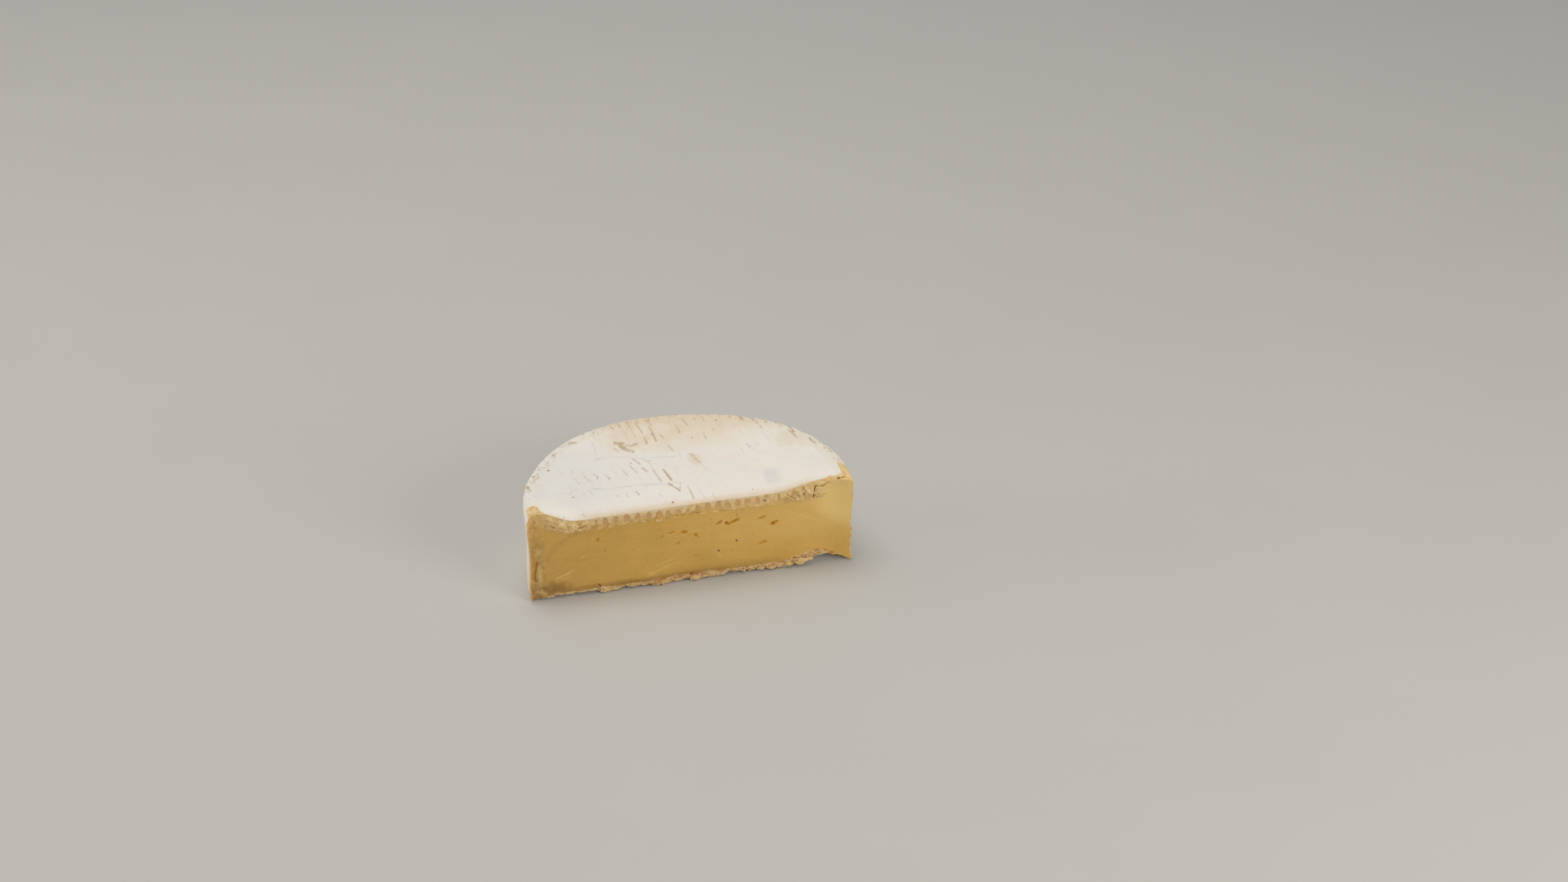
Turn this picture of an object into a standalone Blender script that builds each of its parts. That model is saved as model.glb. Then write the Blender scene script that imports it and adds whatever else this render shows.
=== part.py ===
# Half wheel of soft-ripened cheese, lying on its flat side with the cut face towards -Y.
# One solid: dished top with mat grooves, rounded side wall, torn toothed rind along the cut.

import bmesh
import bpy
import numpy as np

# Driving dimensions, in millimetres
MM = 0.001
RADIUS = 53.0
FULLNESS = 0.9
FULLNESS_TURN = 0.14
LEFT_BULGE = 0.6
LEFT_BULGE_ANGLE = 0.3
LEFT_BULGE_WIDTH = 0.22
RIM_HEIGHT = 33.0
SHOULDER = 3.6
FOOT_ROUND = 1.6
EDGE_ROLL = 2.2
SIDE_WAIST = 0.5
OUTLINE_WANDER = 0.4

# The top has sunk inside its rim, steeply at the left and gently at the right, and more at the cut
DISH_DEPTH = 2.1
CUT_SAG = 1.2
CUT_SAG_REACH = 13.0
DISH_TILT = 0.3
DISH_START_LEFT = 48.5
DISH_END_LEFT = 36.0
DISH_START_RIGHT = 43.0
DISH_END_RIGHT = 26.0

# The reed mat that the cheese drained on: grooves square to the cut, on the top face
MAT_PITCH = 3.27
MAT_PHASE = 1.5
MAT_GROOVE_DEPTH = 0.25

# Where the rind still shows the grooves: middle across and back from the cut, reach across and back
MAT_PATCHES = (
    (-10.0, 42.0, 13.0, 12.0),
    (-12.0, 18.0, 13.0, 11.0),
    (-30.0, 16.0, 8.0, 6.0),
    (30.0, 36.0, 12.0, 8.0),
)

# The torn rind along the top of the cut
BAND_HEIGHT = 3.4
BAND_PROUD = 0.55
TOOTH_DEPTH = 0.8
TOOTH_HALF_WIDTH = 1.15
TOOTH_FROM = -33.0
TOOTH_TO = 37.0
JUMBLE_CENTRE = 38.0
JUMBLE_WIDTH = 7.0

# The crumbly rind along the foot of the cut
FOOT_BAND = 2.6
FOOT_LUMP = 1.1
FOOT_LIFT = 2.2
FOOT_LIFT_CENTRE = 44.0
FOOT_LIFT_WIDTH = 7.5
FOOT_LIFT_REACH = 7.0

# How the knife left the cut face: both ends drawn forward, and drawn-out corners
LEFT_FLARE = 0.9
LEFT_FLARE_WIDTH = 3.0
RIGHT_FLARE_TOP = 2.1
RIGHT_FLARE_FOOT = 0.5
RIGHT_FLARE_WIDTH = 12.0
FACE_WANDER = 0.5
TIP_REACH = 1.2
TIP_SIZE = 3.2

# Eyes of the paste in the cut face: across, up, half length, half height, slant in degrees, depth
EYES = (
    (-30.4, 19.0, 0.9, 0.5, 50, 0.7),
    (-7.1, 18.5, 1.2, 0.45, 15, 0.7),
    (-3.0, 18.2, 1.3, 0.6, 5, 1.2),
    (0.6, 16.6, 1.2, 0.5, -30, 0.8),
    (8.5, 20.0, 1.5, 0.5, 30, 1.1),
    (12.8, 19.5, 2.6, 0.55, 14, 1.3),
    (22.1, 19.7, 1.5, 0.5, 10, 0.6),
    (26.2, 17.2, 1.5, 0.65, 20, 1.5),
    (22.7, 10.5, 1.3, 0.55, 15, 1.0),
    (-4.9, 14.4, 0.9, 0.4, 25, 0.8),
)

# How finely the surface is drawn before it is thinned, and the triangles that are kept
COLUMNS = 440
SIDE_ROWS = 64
TOP_ROWS = 72
BASE_ROWS = 12
TRIANGLES = 11400
FLAT_BAND = 0.02


def smooth(low, high, value):
    """0 below low and 1 above high, with an eased step between."""
    t = np.clip((value - low) / (high - low), 0.0, 1.0)
    return t * t * (3.0 - 2.0 * t)


def bump(centre, width, value):
    """1 at the centre, fading to nothing at about twice the width."""
    return np.exp(-((value - centre) / width) ** 2)


def lattice(ix, iy, iz, seed):
    """A repeatable value between -1 and 1 for each point of a whole-number lattice."""
    n = ix * np.uint64(374761393) + iy * np.uint64(668265263) + iz * np.uint64(1103515245)
    n = (n + np.uint64(seed * 977)) & np.uint64(0xFFFFFFFF)
    n = ((n ^ (n >> np.uint64(13))) * np.uint64(1274126177)) & np.uint64(0xFFFFFFFF)
    n = n ^ (n >> np.uint64(16))
    return n.astype(np.float64) / 2147483647.5 - 1.0


def noise(x, y, z, size, seed):
    """Smooth noise between -1 and 1 whose lumps are about size across."""
    cells = []
    steps = []
    for value in (x, y, z):
        scaled = value / size
        whole = np.floor(scaled)
        part = scaled - whole
        cells.append(whole.astype(np.int64).astype(np.uint64))
        steps.append(part * part * part * (part * (part * 6.0 - 15.0) + 10.0))
    one = np.uint64(1)
    total = 0.0
    for cx in (0, 1):
        for cy in (0, 1):
            for cz in (0, 1):
                weight = (steps[0] if cx else 1.0 - steps[0])
                weight = weight * (steps[1] if cy else 1.0 - steps[1])
                weight = weight * (steps[2] if cz else 1.0 - steps[2])
                corner = (cells[0] + one * np.uint64(cx), cells[1] + one * np.uint64(cy),
                          cells[2] + one * np.uint64(cz))
                total = total + weight * lattice(*corner, seed)
    return total


def side_profile(rows):
    """Inset from the full radius, and height, up the rounded side from the base to the top."""
    foot = FOOT_ROUND * np.pi / 2.0
    straight = RIM_HEIGHT - FOOT_ROUND - SHOULDER
    shoulder = SHOULDER * np.pi / 2.0
    s = np.linspace(0.0, foot + straight + shoulder, rows + 1)
    low = np.clip(s / FOOT_ROUND, 0.0, np.pi / 2.0)
    high = np.clip((s - foot - straight) / SHOULDER, 0.0, np.pi / 2.0)
    middle = np.clip(s - foot, 0.0, straight)
    inset = FOOT_ROUND * (1.0 - np.sin(low)) + SHOULDER * (1.0 - np.cos(high))
    height = FOOT_ROUND * (1.0 - np.cos(low)) + middle + SHOULDER * np.sin(high)
    return inset, height


def plan_radius(angle):
    """The outline's radius, fuller near both diagonals, at an angle round from the left end."""
    squarer = -FULLNESS * np.cos(4.0 * (angle - FULLNESS_TURN))
    return RADIUS + squarer + LEFT_BULGE * bump(LEFT_BULGE_ANGLE, LEFT_BULGE_WIDTH, angle)


def dish(x, y):
    """How far the top has sunk at a place in the plan."""
    reach = np.hypot(x, y)
    leftward = 0.5 - 0.5 * x / np.maximum(reach, 1.0)
    start = DISH_START_RIGHT + (DISH_START_LEFT - DISH_START_RIGHT) * leftward
    end = DISH_END_RIGHT + (DISH_END_LEFT - DISH_END_RIGHT) * leftward
    uneven = 1.0 - DISH_TILT * x / RADIUS + 0.12 * noise(x, y, 0.0 * x, 28.0, 3)
    depth = DISH_DEPTH + CUT_SAG * smooth(CUT_SAG_REACH, 0.0, y)
    return depth * smooth(start, end, reach) * uneven


def roll_drop(y):
    """How far the rind rolls down over the cut's upper edge."""
    into = np.clip(EDGE_ROLL - y, 0.0, EDGE_ROLL)
    return EDGE_ROLL - np.sqrt(EDGE_ROLL ** 2 - into ** 2)


def mat_grooves(x, y):
    """1 in the middle of a mat groove and 0 between grooves, where the rind still shows them."""
    wander = 0.3 * noise(x, y, 0.0 * x, 14.0, 11)
    wave = np.cos(2.0 * np.pi * (x - MAT_PHASE + wander) / MAT_PITCH)
    kept = 0.0 * x
    for across, back, reach_across, reach_back in MAT_PATCHES:
        off = np.hypot((x - across) / reach_across, (y - back) / reach_back)
        kept = np.maximum(kept, smooth(1.1, 0.5, off))
    return smooth(0.1, 0.95, wave) * kept


def teeth(x, below):
    """1 in a tan arch of the torn rind, by the distance below the upper edge of the cut."""
    rise = np.clip(1.0 - below / BAND_HEIGHT, 0.0, 1.0)
    half_width = TOOTH_HALF_WIDTH * np.sqrt(1.0 - 0.85 * rise)
    phase = (x - MAT_PHASE) / MAT_PITCH
    off_centre = np.abs(phase - np.round(phase)) * MAT_PITCH
    arch = smooth(half_width + 0.25, half_width - 0.35, off_centre)
    along = smooth(TOOTH_FROM - 4.0, TOOTH_FROM, x) * smooth(TOOTH_TO, TOOTH_TO - 4.0, x)
    inside = smooth(-0.6, 0.2, below) * smooth(BAND_HEIGHT + 0.3, BAND_HEIGHT - 0.5, below)
    return arch * along * inside


def eye_dents(x, z):
    """Depth of the paste's eyes at a place on the cut face."""
    depth = 0.0 * x
    for across, up, length, height, slant, deep in EYES:
        angle = np.radians(slant)
        u = (x - across) * np.cos(angle) + (z - up) * np.sin(angle)
        v = (z - up) * np.cos(angle) - (x - across) * np.sin(angle)
        reach = np.hypot(u / length, v / height)
        depth = np.maximum(depth, deep * smooth(1.25, 0.45, reach))
    return depth


def cut_relief(x, z, edge):
    """How far the cut face stands forward of its plane."""
    below = edge - z
    right_flare = RIGHT_FLARE_FOOT + (RIGHT_FLARE_TOP - RIGHT_FLARE_FOOT) * z / RIM_HEIGHT
    forward = LEFT_FLARE * smooth(-RADIUS + LEFT_FLARE_WIDTH, -RADIUS, x) ** 2
    forward = forward + right_flare * smooth(RADIUS - RIGHT_FLARE_WIDTH, RADIUS, x) ** 2
    forward = forward + FACE_WANDER * noise(x, 0.0 * x, z, 17.0, 5)
    band = smooth(BAND_HEIGHT + 0.9, BAND_HEIGHT - 0.6, below) * smooth(-1.0, 1.2, below)
    lumps = 0.45 * noise(x, 0.0 * x, z, 1.5, 21) + 0.35 * noise(x, 0.0 * x, z, 3.1, 22)
    jumble = bump(JUMBLE_CENTRE, JUMBLE_WIDTH, x)
    forward = forward + band * (BAND_PROUD + (0.5 + 0.9 * jumble) * lumps)
    forward = forward - TOOTH_DEPTH * teeth(x, below)
    low = smooth(FOOT_BAND, FOOT_BAND * 0.4, z)
    crumbs = noise(x, 0.0 * x, z, 2.3, 31) + 0.6 * noise(x, 0.0 * x, z, 4.7, 32)
    forward = forward + low * FOOT_LUMP * (0.25 + 0.5 * crumbs)
    return forward - eye_dents(x, z)


def foot_lift(x, y):
    """How far the bottom rind has come up from the surface that the cheese lies on."""
    near_cut = smooth(FOOT_LIFT_REACH, 0.0, y)
    arch = FOOT_LIFT * bump(FOOT_LIFT_CENTRE, FOOT_LIFT_WIDTH, x) * smooth(RADIUS, RADIUS - 5.0, x)
    ragged = 0.5 * smooth(0.1, 0.9, noise(x, 0.0 * x, 0.0 * x, 3.6, 41))
    return near_cut * arch + smooth(1.5, 0.0, y) * ragged


def draw_tip(points, corner, direction):
    """Pull the surface near a corner out to a small point."""
    distance = np.linalg.norm(points - corner, axis=-1)
    pull = TIP_REACH * np.clip(1.0 - distance / TIP_SIZE, 0.0, 1.0) ** 2
    return points + pull[..., None] * np.array(direction)


def loop_points():
    """The half wheel's surface, as one closed loop of points for each column across the cut."""
    angle = np.linspace(0.0, np.pi, COLUMNS + 1)[:, None]
    plan_x = -np.cos(angle)
    plan_y = np.sin(angle)
    inset, height = side_profile(SIDE_ROWS)
    full = plan_radius(angle)
    reach = full - inset[None, :]

    # The cut face, from its foot up to the white edge of the rind
    end = np.where(plan_x < 0.0, plan_radius(0.0), plan_radius(np.pi))
    x = plan_x * (end - inset[None, :])
    edge = RIM_HEIGHT - dish(x, 0.0 * x) - EDGE_ROLL
    z = height[None, :] / RIM_HEIGHT * edge
    z = z + smooth(4.0, 0.0, z) * foot_lift(x, 0.0 * x)
    flow = smooth(0.0, 2.0, z) * smooth(0.0, 0.6, edge - z)
    y = -cut_relief(x, z, edge) * (0.35 + 0.65 * np.maximum(flow, smooth(1.5, 0.0, z)))
    cut = np.stack([x, y, z], axis=-1)

    # The top face, from the cut edge over the roll and the dish to the shoulder
    v = np.linspace(0.0, 1.0, TOP_ROWS + 1)[None, 1:-1] ** 1.7
    x = cut[:, -1:, 0] * (1.0 - v) + plan_x * (full - SHOULDER) * v
    y = plan_y * (full - SHOULDER) * v
    z = RIM_HEIGHT - dish(x, y) - roll_drop(y)
    inner = smooth(0.0, 3.0, y) * smooth(0.0, 2.5, plan_y * (full - SHOULDER) - y)
    z = z - MAT_GROOVE_DEPTH * mat_grooves(x, y) * inner
    z = z + 0.2 * noise(x, y, 0.0 * x, 9.0, 51) * inner
    y = y + cut[:, -1:, 1] * smooth(3.0, 0.0, y)
    top = np.stack([x, y, z], axis=-1)

    # The side wall, from the shoulder down to the foot
    x = plan_x * reach[:, ::-1]
    y = plan_y * reach[:, ::-1]
    z = np.repeat(height[None, ::-1], COLUMNS + 1, axis=0)
    level = z / RIM_HEIGHT
    waist = SIDE_WAIST * np.sin(np.pi * level) ** 2
    wander = OUTLINE_WANDER * noise(x, y, 0.3 * z, 15.0, 61) * smooth(0.0, 6.0, y)
    scale = 1.0 - (waist - wander) / RADIUS * np.sin(np.pi * level)
    z = z - level * (dish(x, y) + roll_drop(y))
    z = z + smooth(4.0, 0.0, z) * foot_lift(x, y)
    x = x * scale
    near = smooth(5.0, 0.0, y)
    y = y * scale + near * (cut[:, ::-1, 1] * smooth(0.0, 1.0, np.abs(plan_x) ** 8))
    wall = np.stack([x, y, z], axis=-1)

    # The base, from the foot of the wall forward to the foot of the cut
    v = np.linspace(1.0, 0.0, BASE_ROWS + 1)[None, 1:-1] ** 1.6
    x = cut[:, :1, 0] * (1.0 - v) + plan_x * (full - FOOT_ROUND) * v
    y = plan_y * (full - FOOT_ROUND) * v
    z = foot_lift(x, y)
    y = y + cut[:, :1, 1] * smooth(3.0, 0.0, y)
    base = np.stack([x, y, z], axis=-1)
    return cut, top, wall, base


def surface():
    """Vertices and faces of the whole surface, closed at both ends of the cut."""
    cut, top, wall, base = loop_points()
    loops = np.concatenate([cut, top, wall, base], axis=1)
    left, right = plan_radius(0.0), plan_radius(np.pi)
    for corner, direction in (
        ((-left, -LEFT_FLARE, 0.0), (0.1, -1.0, 0.0)),
        ((right, -RIGHT_FLARE_FOOT, 0.0), (0.8, -0.5, 0.0)),
        ((right, -RIGHT_FLARE_TOP, RIM_HEIGHT - EDGE_ROLL), (0.8, -0.3, 0.5)),
    ):
        loops = draw_tip(loops, np.array(corner), direction)
    loops[..., 2] = np.maximum(loops[..., 2], 0.0)
    count = loops.shape[1]
    index = np.arange(loops.shape[0] * count).reshape(loops.shape[0], count)
    wall_start = SIDE_ROWS + 1 + top.shape[1]
    base_start = wall_start + SIDE_ROWS + 1
    for column in (0, -1):
        index[column, SIDE_ROWS + 1:wall_start] = index[column, SIDE_ROWS]
        index[column, wall_start:base_start] = index[column, SIDE_ROWS::-1]
        index[column, base_start:] = index[column, 0]
    after = np.roll(index, -1, axis=1)
    corners = np.stack([index[:-1], index[1:], after[1:], after[:-1]], axis=-1).reshape(-1, 4)
    faces = []
    for face in corners.tolist():
        ring = [corner for place, corner in enumerate(face) if corner != face[place - 1]]
        if len(ring) > 2:
            faces.append(ring)
    return loops.reshape(-1, 3), faces


def material(name, colour, roughness):
    """A plain Principled material."""
    made = bpy.data.materials.new(name)
    made.use_nodes = True
    shader = made.node_tree.nodes["Principled BSDF"]
    shader.inputs["Base Color"].default_value = (*colour, 1.0)
    shader.inputs["Roughness"].default_value = roughness
    shader.inputs["Metallic"].default_value = 0.0
    return made


def thinned_mesh(points, faces):
    """The surface with its triangles thinned where it is plain, as a mesh."""
    dense = bpy.data.meshes.new("dense_surface")
    dense.from_pydata((points * MM).tolist(), [], faces)
    work = bmesh.new()
    work.from_mesh(dense)
    loose = [vertex for vertex in work.verts if not vertex.link_faces]
    bmesh.ops.delete(work, geom=loose, context="VERTS")
    bmesh.ops.triangulate(work, faces=work.faces[:])
    total = len(work.faces)
    work.to_mesh(dense)
    work.free()
    guide = bpy.data.objects.new("dense_guide", dense)
    bpy.context.scene.collection.objects.link(guide)
    thinning = guide.modifiers.new("Thin", "DECIMATE")
    thinning.ratio = TRIANGLES / total
    evaluated = guide.evaluated_get(bpy.context.evaluated_depsgraph_get())
    mesh = bpy.data.meshes.new_from_object(evaluated)
    bpy.data.objects.remove(guide)
    bpy.data.meshes.remove(dense)
    return mesh


def centred(mesh):
    """Put the middle of the mesh's footprint on the origin, with its flat base at height 0."""
    points = np.array([vertex.co[:] for vertex in mesh.vertices])
    points[:, 2] = np.where(points[:, 2] < FLAT_BAND * MM, 0.0, points[:, 2])
    middle = (points.min(axis=0) + points.max(axis=0)) / 2.0
    points[:, :2] -= middle[:2]
    for vertex, point in zip(mesh.vertices, points.tolist()):
        vertex.co = point
    mesh.update()


def build():
    """Make the half wheel."""
    for thing in list(bpy.data.objects):
        bpy.data.objects.remove(thing)
    points, faces = surface()
    mesh = thinned_mesh(points, faces)
    centred(mesh)
    mesh.name = "half_wheel"
    mesh.shade_smooth()
    mesh.materials.append(material("rind_and_paste", (0.72, 0.62, 0.42), 0.6))
    wheel = bpy.data.objects.new("half_wheel", mesh)
    bpy.context.scene.collection.objects.link(wheel)
    return wheel


build()
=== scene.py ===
# Looks of the half wheel of soft-ripened cheese: one fine surface in place of the solid, the crumbs
# of its torn edges, and the specks in its paste, under plain soft light.
# Lengths are in millimetres in the cheese's own frame: the cut lies in the plane y = 0, the wheel's
# centre is the origin, and the resting surface is z = 0. Meshes are turned to metres when made.

import bmesh
import bpy
import numpy as np
from mathutils import Matrix, Vector


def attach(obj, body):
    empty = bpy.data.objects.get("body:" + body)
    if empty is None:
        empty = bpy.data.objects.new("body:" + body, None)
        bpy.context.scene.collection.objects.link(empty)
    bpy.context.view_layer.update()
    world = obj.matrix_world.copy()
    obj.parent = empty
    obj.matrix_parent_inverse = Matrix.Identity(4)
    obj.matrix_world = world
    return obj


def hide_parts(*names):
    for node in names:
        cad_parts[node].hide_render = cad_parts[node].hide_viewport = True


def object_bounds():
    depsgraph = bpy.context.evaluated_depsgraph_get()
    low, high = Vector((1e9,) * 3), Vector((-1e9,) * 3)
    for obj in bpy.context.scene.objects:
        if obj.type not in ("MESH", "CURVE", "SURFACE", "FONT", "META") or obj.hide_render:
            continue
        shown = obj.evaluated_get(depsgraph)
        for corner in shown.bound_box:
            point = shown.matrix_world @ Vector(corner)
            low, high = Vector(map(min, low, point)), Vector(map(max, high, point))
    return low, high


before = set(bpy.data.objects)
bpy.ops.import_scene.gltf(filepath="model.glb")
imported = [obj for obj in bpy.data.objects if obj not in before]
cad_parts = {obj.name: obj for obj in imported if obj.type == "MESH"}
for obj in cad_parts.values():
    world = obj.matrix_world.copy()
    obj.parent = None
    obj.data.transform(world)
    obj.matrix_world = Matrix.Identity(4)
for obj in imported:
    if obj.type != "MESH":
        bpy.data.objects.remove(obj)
cad_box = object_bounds()

MM = 0.001
BOX_MARGIN = 0.03

# Driving dimensions, as in the solid. The solid's single rounded edge along the top of the cut is
# drawn here as a lean, a roll and a lip, which together drop as far.
RADIUS = 53.0
FULLNESS = 0.9
FULLNESS_TURN = 0.14
LEFT_BULGE = 0.6
LEFT_BULGE_ANGLE = 0.3
LEFT_BULGE_WIDTH = 0.22
RIM_HEIGHT = 33.0
SHOULDER = 3.6
FOOT_ROUND = 1.6
EDGE_LEAN = 0.9
EDGE_LEAN_REACH = 7.5
EDGE_ROLL = 3.2
EDGE_DROP = 1.0
WHITE_LIP = 0.3
SIDE_WAIST = 0.5
OUTLINE_WANDER = 0.4

# The slow swell of the top, the fine roughness of top and side, and how far round from the cut the
# side is bare of bloom at each end
TOP_SWELL = 0.2
TOP_ROUGHNESS = 0.04
SIDE_ROUGHNESS = 0.10
BARE_SIDE_LEFT = 4.0
BARE_SIDE_RIGHT = 2.5

# The top has sunk inside its rim, steeply at the left and gently at the right, and more at the cut
DISH_DEPTH = 2.1
CUT_SAG = 1.2
CUT_SAG_REACH = 13.0
DISH_TILT = 0.3
DISH_START_LEFT = 48.5
DISH_END_LEFT = 36.0
DISH_START_RIGHT = 43.0
DISH_END_RIGHT = 26.0

# The reed mat that the cheese drained on left a groove every few millimetres
MAT_PITCH = 3.27
MAT_PHASE = 1.5
MAT_GROOVE_DEPTH = 0.10
MAT_LEAN = 0.12
RIM_DENT = 0.2
STREAK_DEPTH = 0.06
STREAK_STRENGTH = 0.85
CREASE_DEPTH = 0.09
CREASE_HALF_WIDTH = 0.7

# Bare tan streaks in the grooves: from across and back, to across and back, half width, strength
MAT_STREAKS = (
    (-17.5, 47.2, -16.5, 44.9, 0.30, 0.70),
    (-16.5, 44.9, -16.5, 38.6, 0.14, 0.30),
    (-14.6, 47.8, -14.1, 44.8, 0.35, 0.60),
    (-11.6, 48.4, -11.2, 45.0, 0.35, 0.55),
    (-11.2, 44.5, -10.3, 38.4, 0.16, 0.60),
    (-8.4, 48.2, -8.5, 44.3, 0.35, 0.55),
    (-8.5, 44.3, -7.7, 40.5, 0.25, 0.70),
    (-7.5, 38.8, -7.1, 35.6, 0.36, 0.80),
    (-5.2, 48.2, -4.0, 44.6, 0.60, 0.40),
    (-4.9, 43.6, -4.4, 40.0, 0.28, 0.70),
    (-4.4, 40.0, -4.0, 36.3, 0.34, 0.90),
    (-2.0, 38.8, -1.2, 36.9, 0.40, 0.50),
    (4.0, 43.0, 4.4, 38.5, 0.35, 0.55),
    (6.8, 46.3, 7.6, 42.0, 0.35, 0.55),
    (-0.6, 33.3, 0.4, 29.3, 0.32, 0.50),
    (-24.9, 38.1, -24.4, 32.1, 0.14, 0.40),
    (-22.0, 44.3, -21.9, 41.2, 0.30, 0.25),
    (-22.1, 37.5, -22.0, 34.6, 0.20, 0.30),
    (10.6, 46.3, 10.9, 44.2, 0.30, 0.40),
    (13.5, 45.6, 13.7, 42.8, 0.30, 0.40),
    (16.2, 45.9, 16.6, 44.2, 0.30, 0.35),
    (11.7, 37.0, 12.1, 33.3, 0.35, 0.45),
    (15.2, 38.1, 15.2, 35.7, 0.35, 0.25),
    (30.3, 39.0, 30.2, 36.8, 0.30, 0.60),
    (30.7, 35.4, 30.8, 33.2, 0.30, 0.60),
    (23.7, 26.5, 24.4, 24.3, 0.40, 0.45),
    (26.2, 26.7, 27.4, 23.8, 0.30, 0.20),
    (-31.1, 22.2, -30.5, 21.6, 0.30, 0.40),
    (-30.6, 19.9, -28.7, 16.0, 0.45, 0.40),
    (-27.4, 21.0, -26.5, 19.5, 0.30, 0.75),
    (-26.5, 19.5, -26.7, 17.8, 0.25, 0.75),
    (-23.9, 19.3, -22.9, 16.5, 0.25, 0.60),
    (-21.3, 22.7, -20.3, 17.8, 0.20, 0.25),
    (-18.3, 22.3, -17.1, 16.9, 0.20, 0.50),
    (-15.4, 23.7, -14.0, 18.5, 0.26, 0.60),
    (-14.0, 18.5, -13.2, 13.4, 0.18, 0.25),
    (-13.6, 28.1, -11.8, 23.5, 0.36, 0.55),
    (-11.6, 21.1, -10.8, 18.3, 0.30, 0.70),
    (-10.7, 27.8, -8.7, 23.8, 0.20, 0.60),
    (-8.7, 23.8, -8.5, 18.8, 0.18, 0.35),
    (-8.6, 18.9, -7.6, 10.9, 0.30, 0.60),
    (-5.4, 18.1, -4.2, 11.0, 0.32, 0.90),
    (-2.4, 19.0, -1.4, 13.7, 0.20, 0.25),
    (-2.2, 26.6, -0.6, 25.5, 0.20, 0.40),
    (-33.9, 19.0, -32.7, 16.2, 0.18, 0.50),
    (-34.7, 22.4, -33.9, 19.0, 0.14, 0.25),
    (-38.0, 23.2, -37.1, 19.5, 0.14, 0.30),
    (0.2, 7.2, 0.8, 1.6, 0.24, 0.70),
    (2.8, 6.9, 4.2, 0.7, 0.14, 0.35),
    (7.0, 3.1, 7.6, 0.3, 0.14, 0.40),
    (-16.3, 7.6, -15.7, 6.1, 0.25, 0.70),
    (-9.4, 5.4, -9.0, 4.3, 0.25, 0.60),
    (-19.5, 7.1, -19.3, 5.9, 0.22, 0.50),
    (-22.9, 7.4, -22.2, 6.9, 0.25, 0.40),
    (-30.4, 11.2, -29.8, 9.6, 0.25, 0.35),
    (-18.4, 10.8, -17.6, 10.6, 0.20, 0.50),
    (5.2, 26.3, 7.0, 19.7, 0.50, 0.55),
    (7.0, 19.7, 8.2, 14.3, 0.20, 0.30),
    (-43.5, 25.6, -41.5, 24.8, 0.14, 0.60),
    (-45.0, 24.0, -43.8, 22.8, 0.14, 0.60),
    (39.2, 30.3, 40.3, 24.9, 0.45, 0.65),
    (35.3, 5.6, 41.4, 6.5, 0.14, 0.25),
    (-34.1, 1.3, -33.5, 0.9, 0.50, 0.30),
)

# Where the bloom has worn or torn off the top: the same measures
WORN_STREAKS = (
    (-17.6, 36.5, -15.0, 36.1, 0.60, 0.85),
    (-16.3, 35.6, -14.3, 33.0, 0.75, 0.90),
    (-14.6, 33.2, -12.5, 32.1, 0.50, 0.80),
    (-13.9, 35.4, -12.3, 35.1, 0.35, 0.70),
    (-12.3, 35.1, -10.3, 35.9, 0.40, 0.85),
    (-18.3, 33.8, -17.0, 32.2, 0.28, 0.70),
    (-5.4, 9.5, -2.8, 5.7, 0.38, 0.95),
    (-2.8, 5.7, -1.6, 9.5, 0.34, 0.42),
    (-5.2, 9.0, -1.6, 9.8, 0.16, 0.40),
    (-31.8, 38.9, -30.4, 38.3, 0.90, 0.70),
)

# Shallow creases of the top, cool and grey with painted shade: across and back
CREASES = (
    ((-45.0, 13.5), (-43.6, 10.7), (-40.5, 10.2), (-36.7, 11.4), (-34.4, 13.3), (-31.4, 13.3),
     (-26.2, 11.3), (-14.2, 10.7), (-5.4, 9.2)),
    ((-26.9, 27.9), (-22.7, 29.9), (-18.2, 29.5), (-10.7, 27.8), (0.5, 26.0)),
)

# Arches of the torn rind: across, height of the tip, height of the foot, half width, roundness
ARCHES = (
    (-30.6, 26.4, 24.6, 0.60, 1.5),
    (-27.7, 27.0, 23.8, 0.95, 2.0),
    (-24.4, 27.0, 24.6, 0.80, 3.0),
    (-20.9, 27.6, 24.6, 1.00, 2.4),
    (-17.6, 27.4, 24.5, 0.95, 2.2),
    (-14.1, 27.1, 24.6, 0.82, 2.6),
    (-10.8, 27.0, 24.4, 1.05, 3.4),
    (-7.9, 26.8, 24.4, 0.80, 2.6),
    (-4.5, 26.5, 24.9, 0.80, 2.2),
    (-1.6, 26.4, 24.8, 0.80, 2.4),
    (1.6, 27.2, 24.6, 0.95, 2.6),
    (4.8, 27.6, 24.8, 0.95, 2.8),
    (8.2, 27.9, 24.5, 1.00, 2.6),
    (11.3, 27.0, 24.9, 0.95, 2.0),
    (14.6, 27.5, 24.7, 0.90, 2.2),
    (17.6, 27.3, 25.4, 1.00, 3.0),
    (20.9, 27.6, 24.8, 0.75, 1.6),
    (23.7, 29.2, 26.3, 0.60, 1.1),
    (27.8, 27.8, 24.9, 0.55, 1.1),
    (32.7, 28.5, 25.9, 1.10, 1.0),
    (35.9, 29.2, 27.5, 0.60, 1.2),
)

# How far down the cut the torn rind reaches, from place to place across
BAND_PLACES = (-53.0, -47.0, -45.0, -39.4, -35.2, -30.0, 0.0, 24.0, 31.0, 35.0, 39.0, 42.0, 45.0, 53.0)
BAND_REACHES = (3.0, 5.6, 5.2, 4.4, 3.5, 3.1, 3.0, 3.4, 4.0, 4.9, 6.2, 6.0, 3.0, 1.5)
BAND_PROUD = 0.3
ARCH_DEPTH = 0.14
ARCH_FULLNESS = 1.08

# Where, across, the torn rind fades at each end, where it is crumbly, and where the mottled column
# at the left end begins
BAND_FADE_LEFT = (-44.5, -47.5)
BAND_FADE_RIGHT = (42.0, 46.0)
CRUMBLY_LEFT = (-31.0, -35.0)
CRUMBLY_RIGHT = (29.5, 33.0)
LEFT_COLUMN = (-46.3, -48.3)

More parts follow.
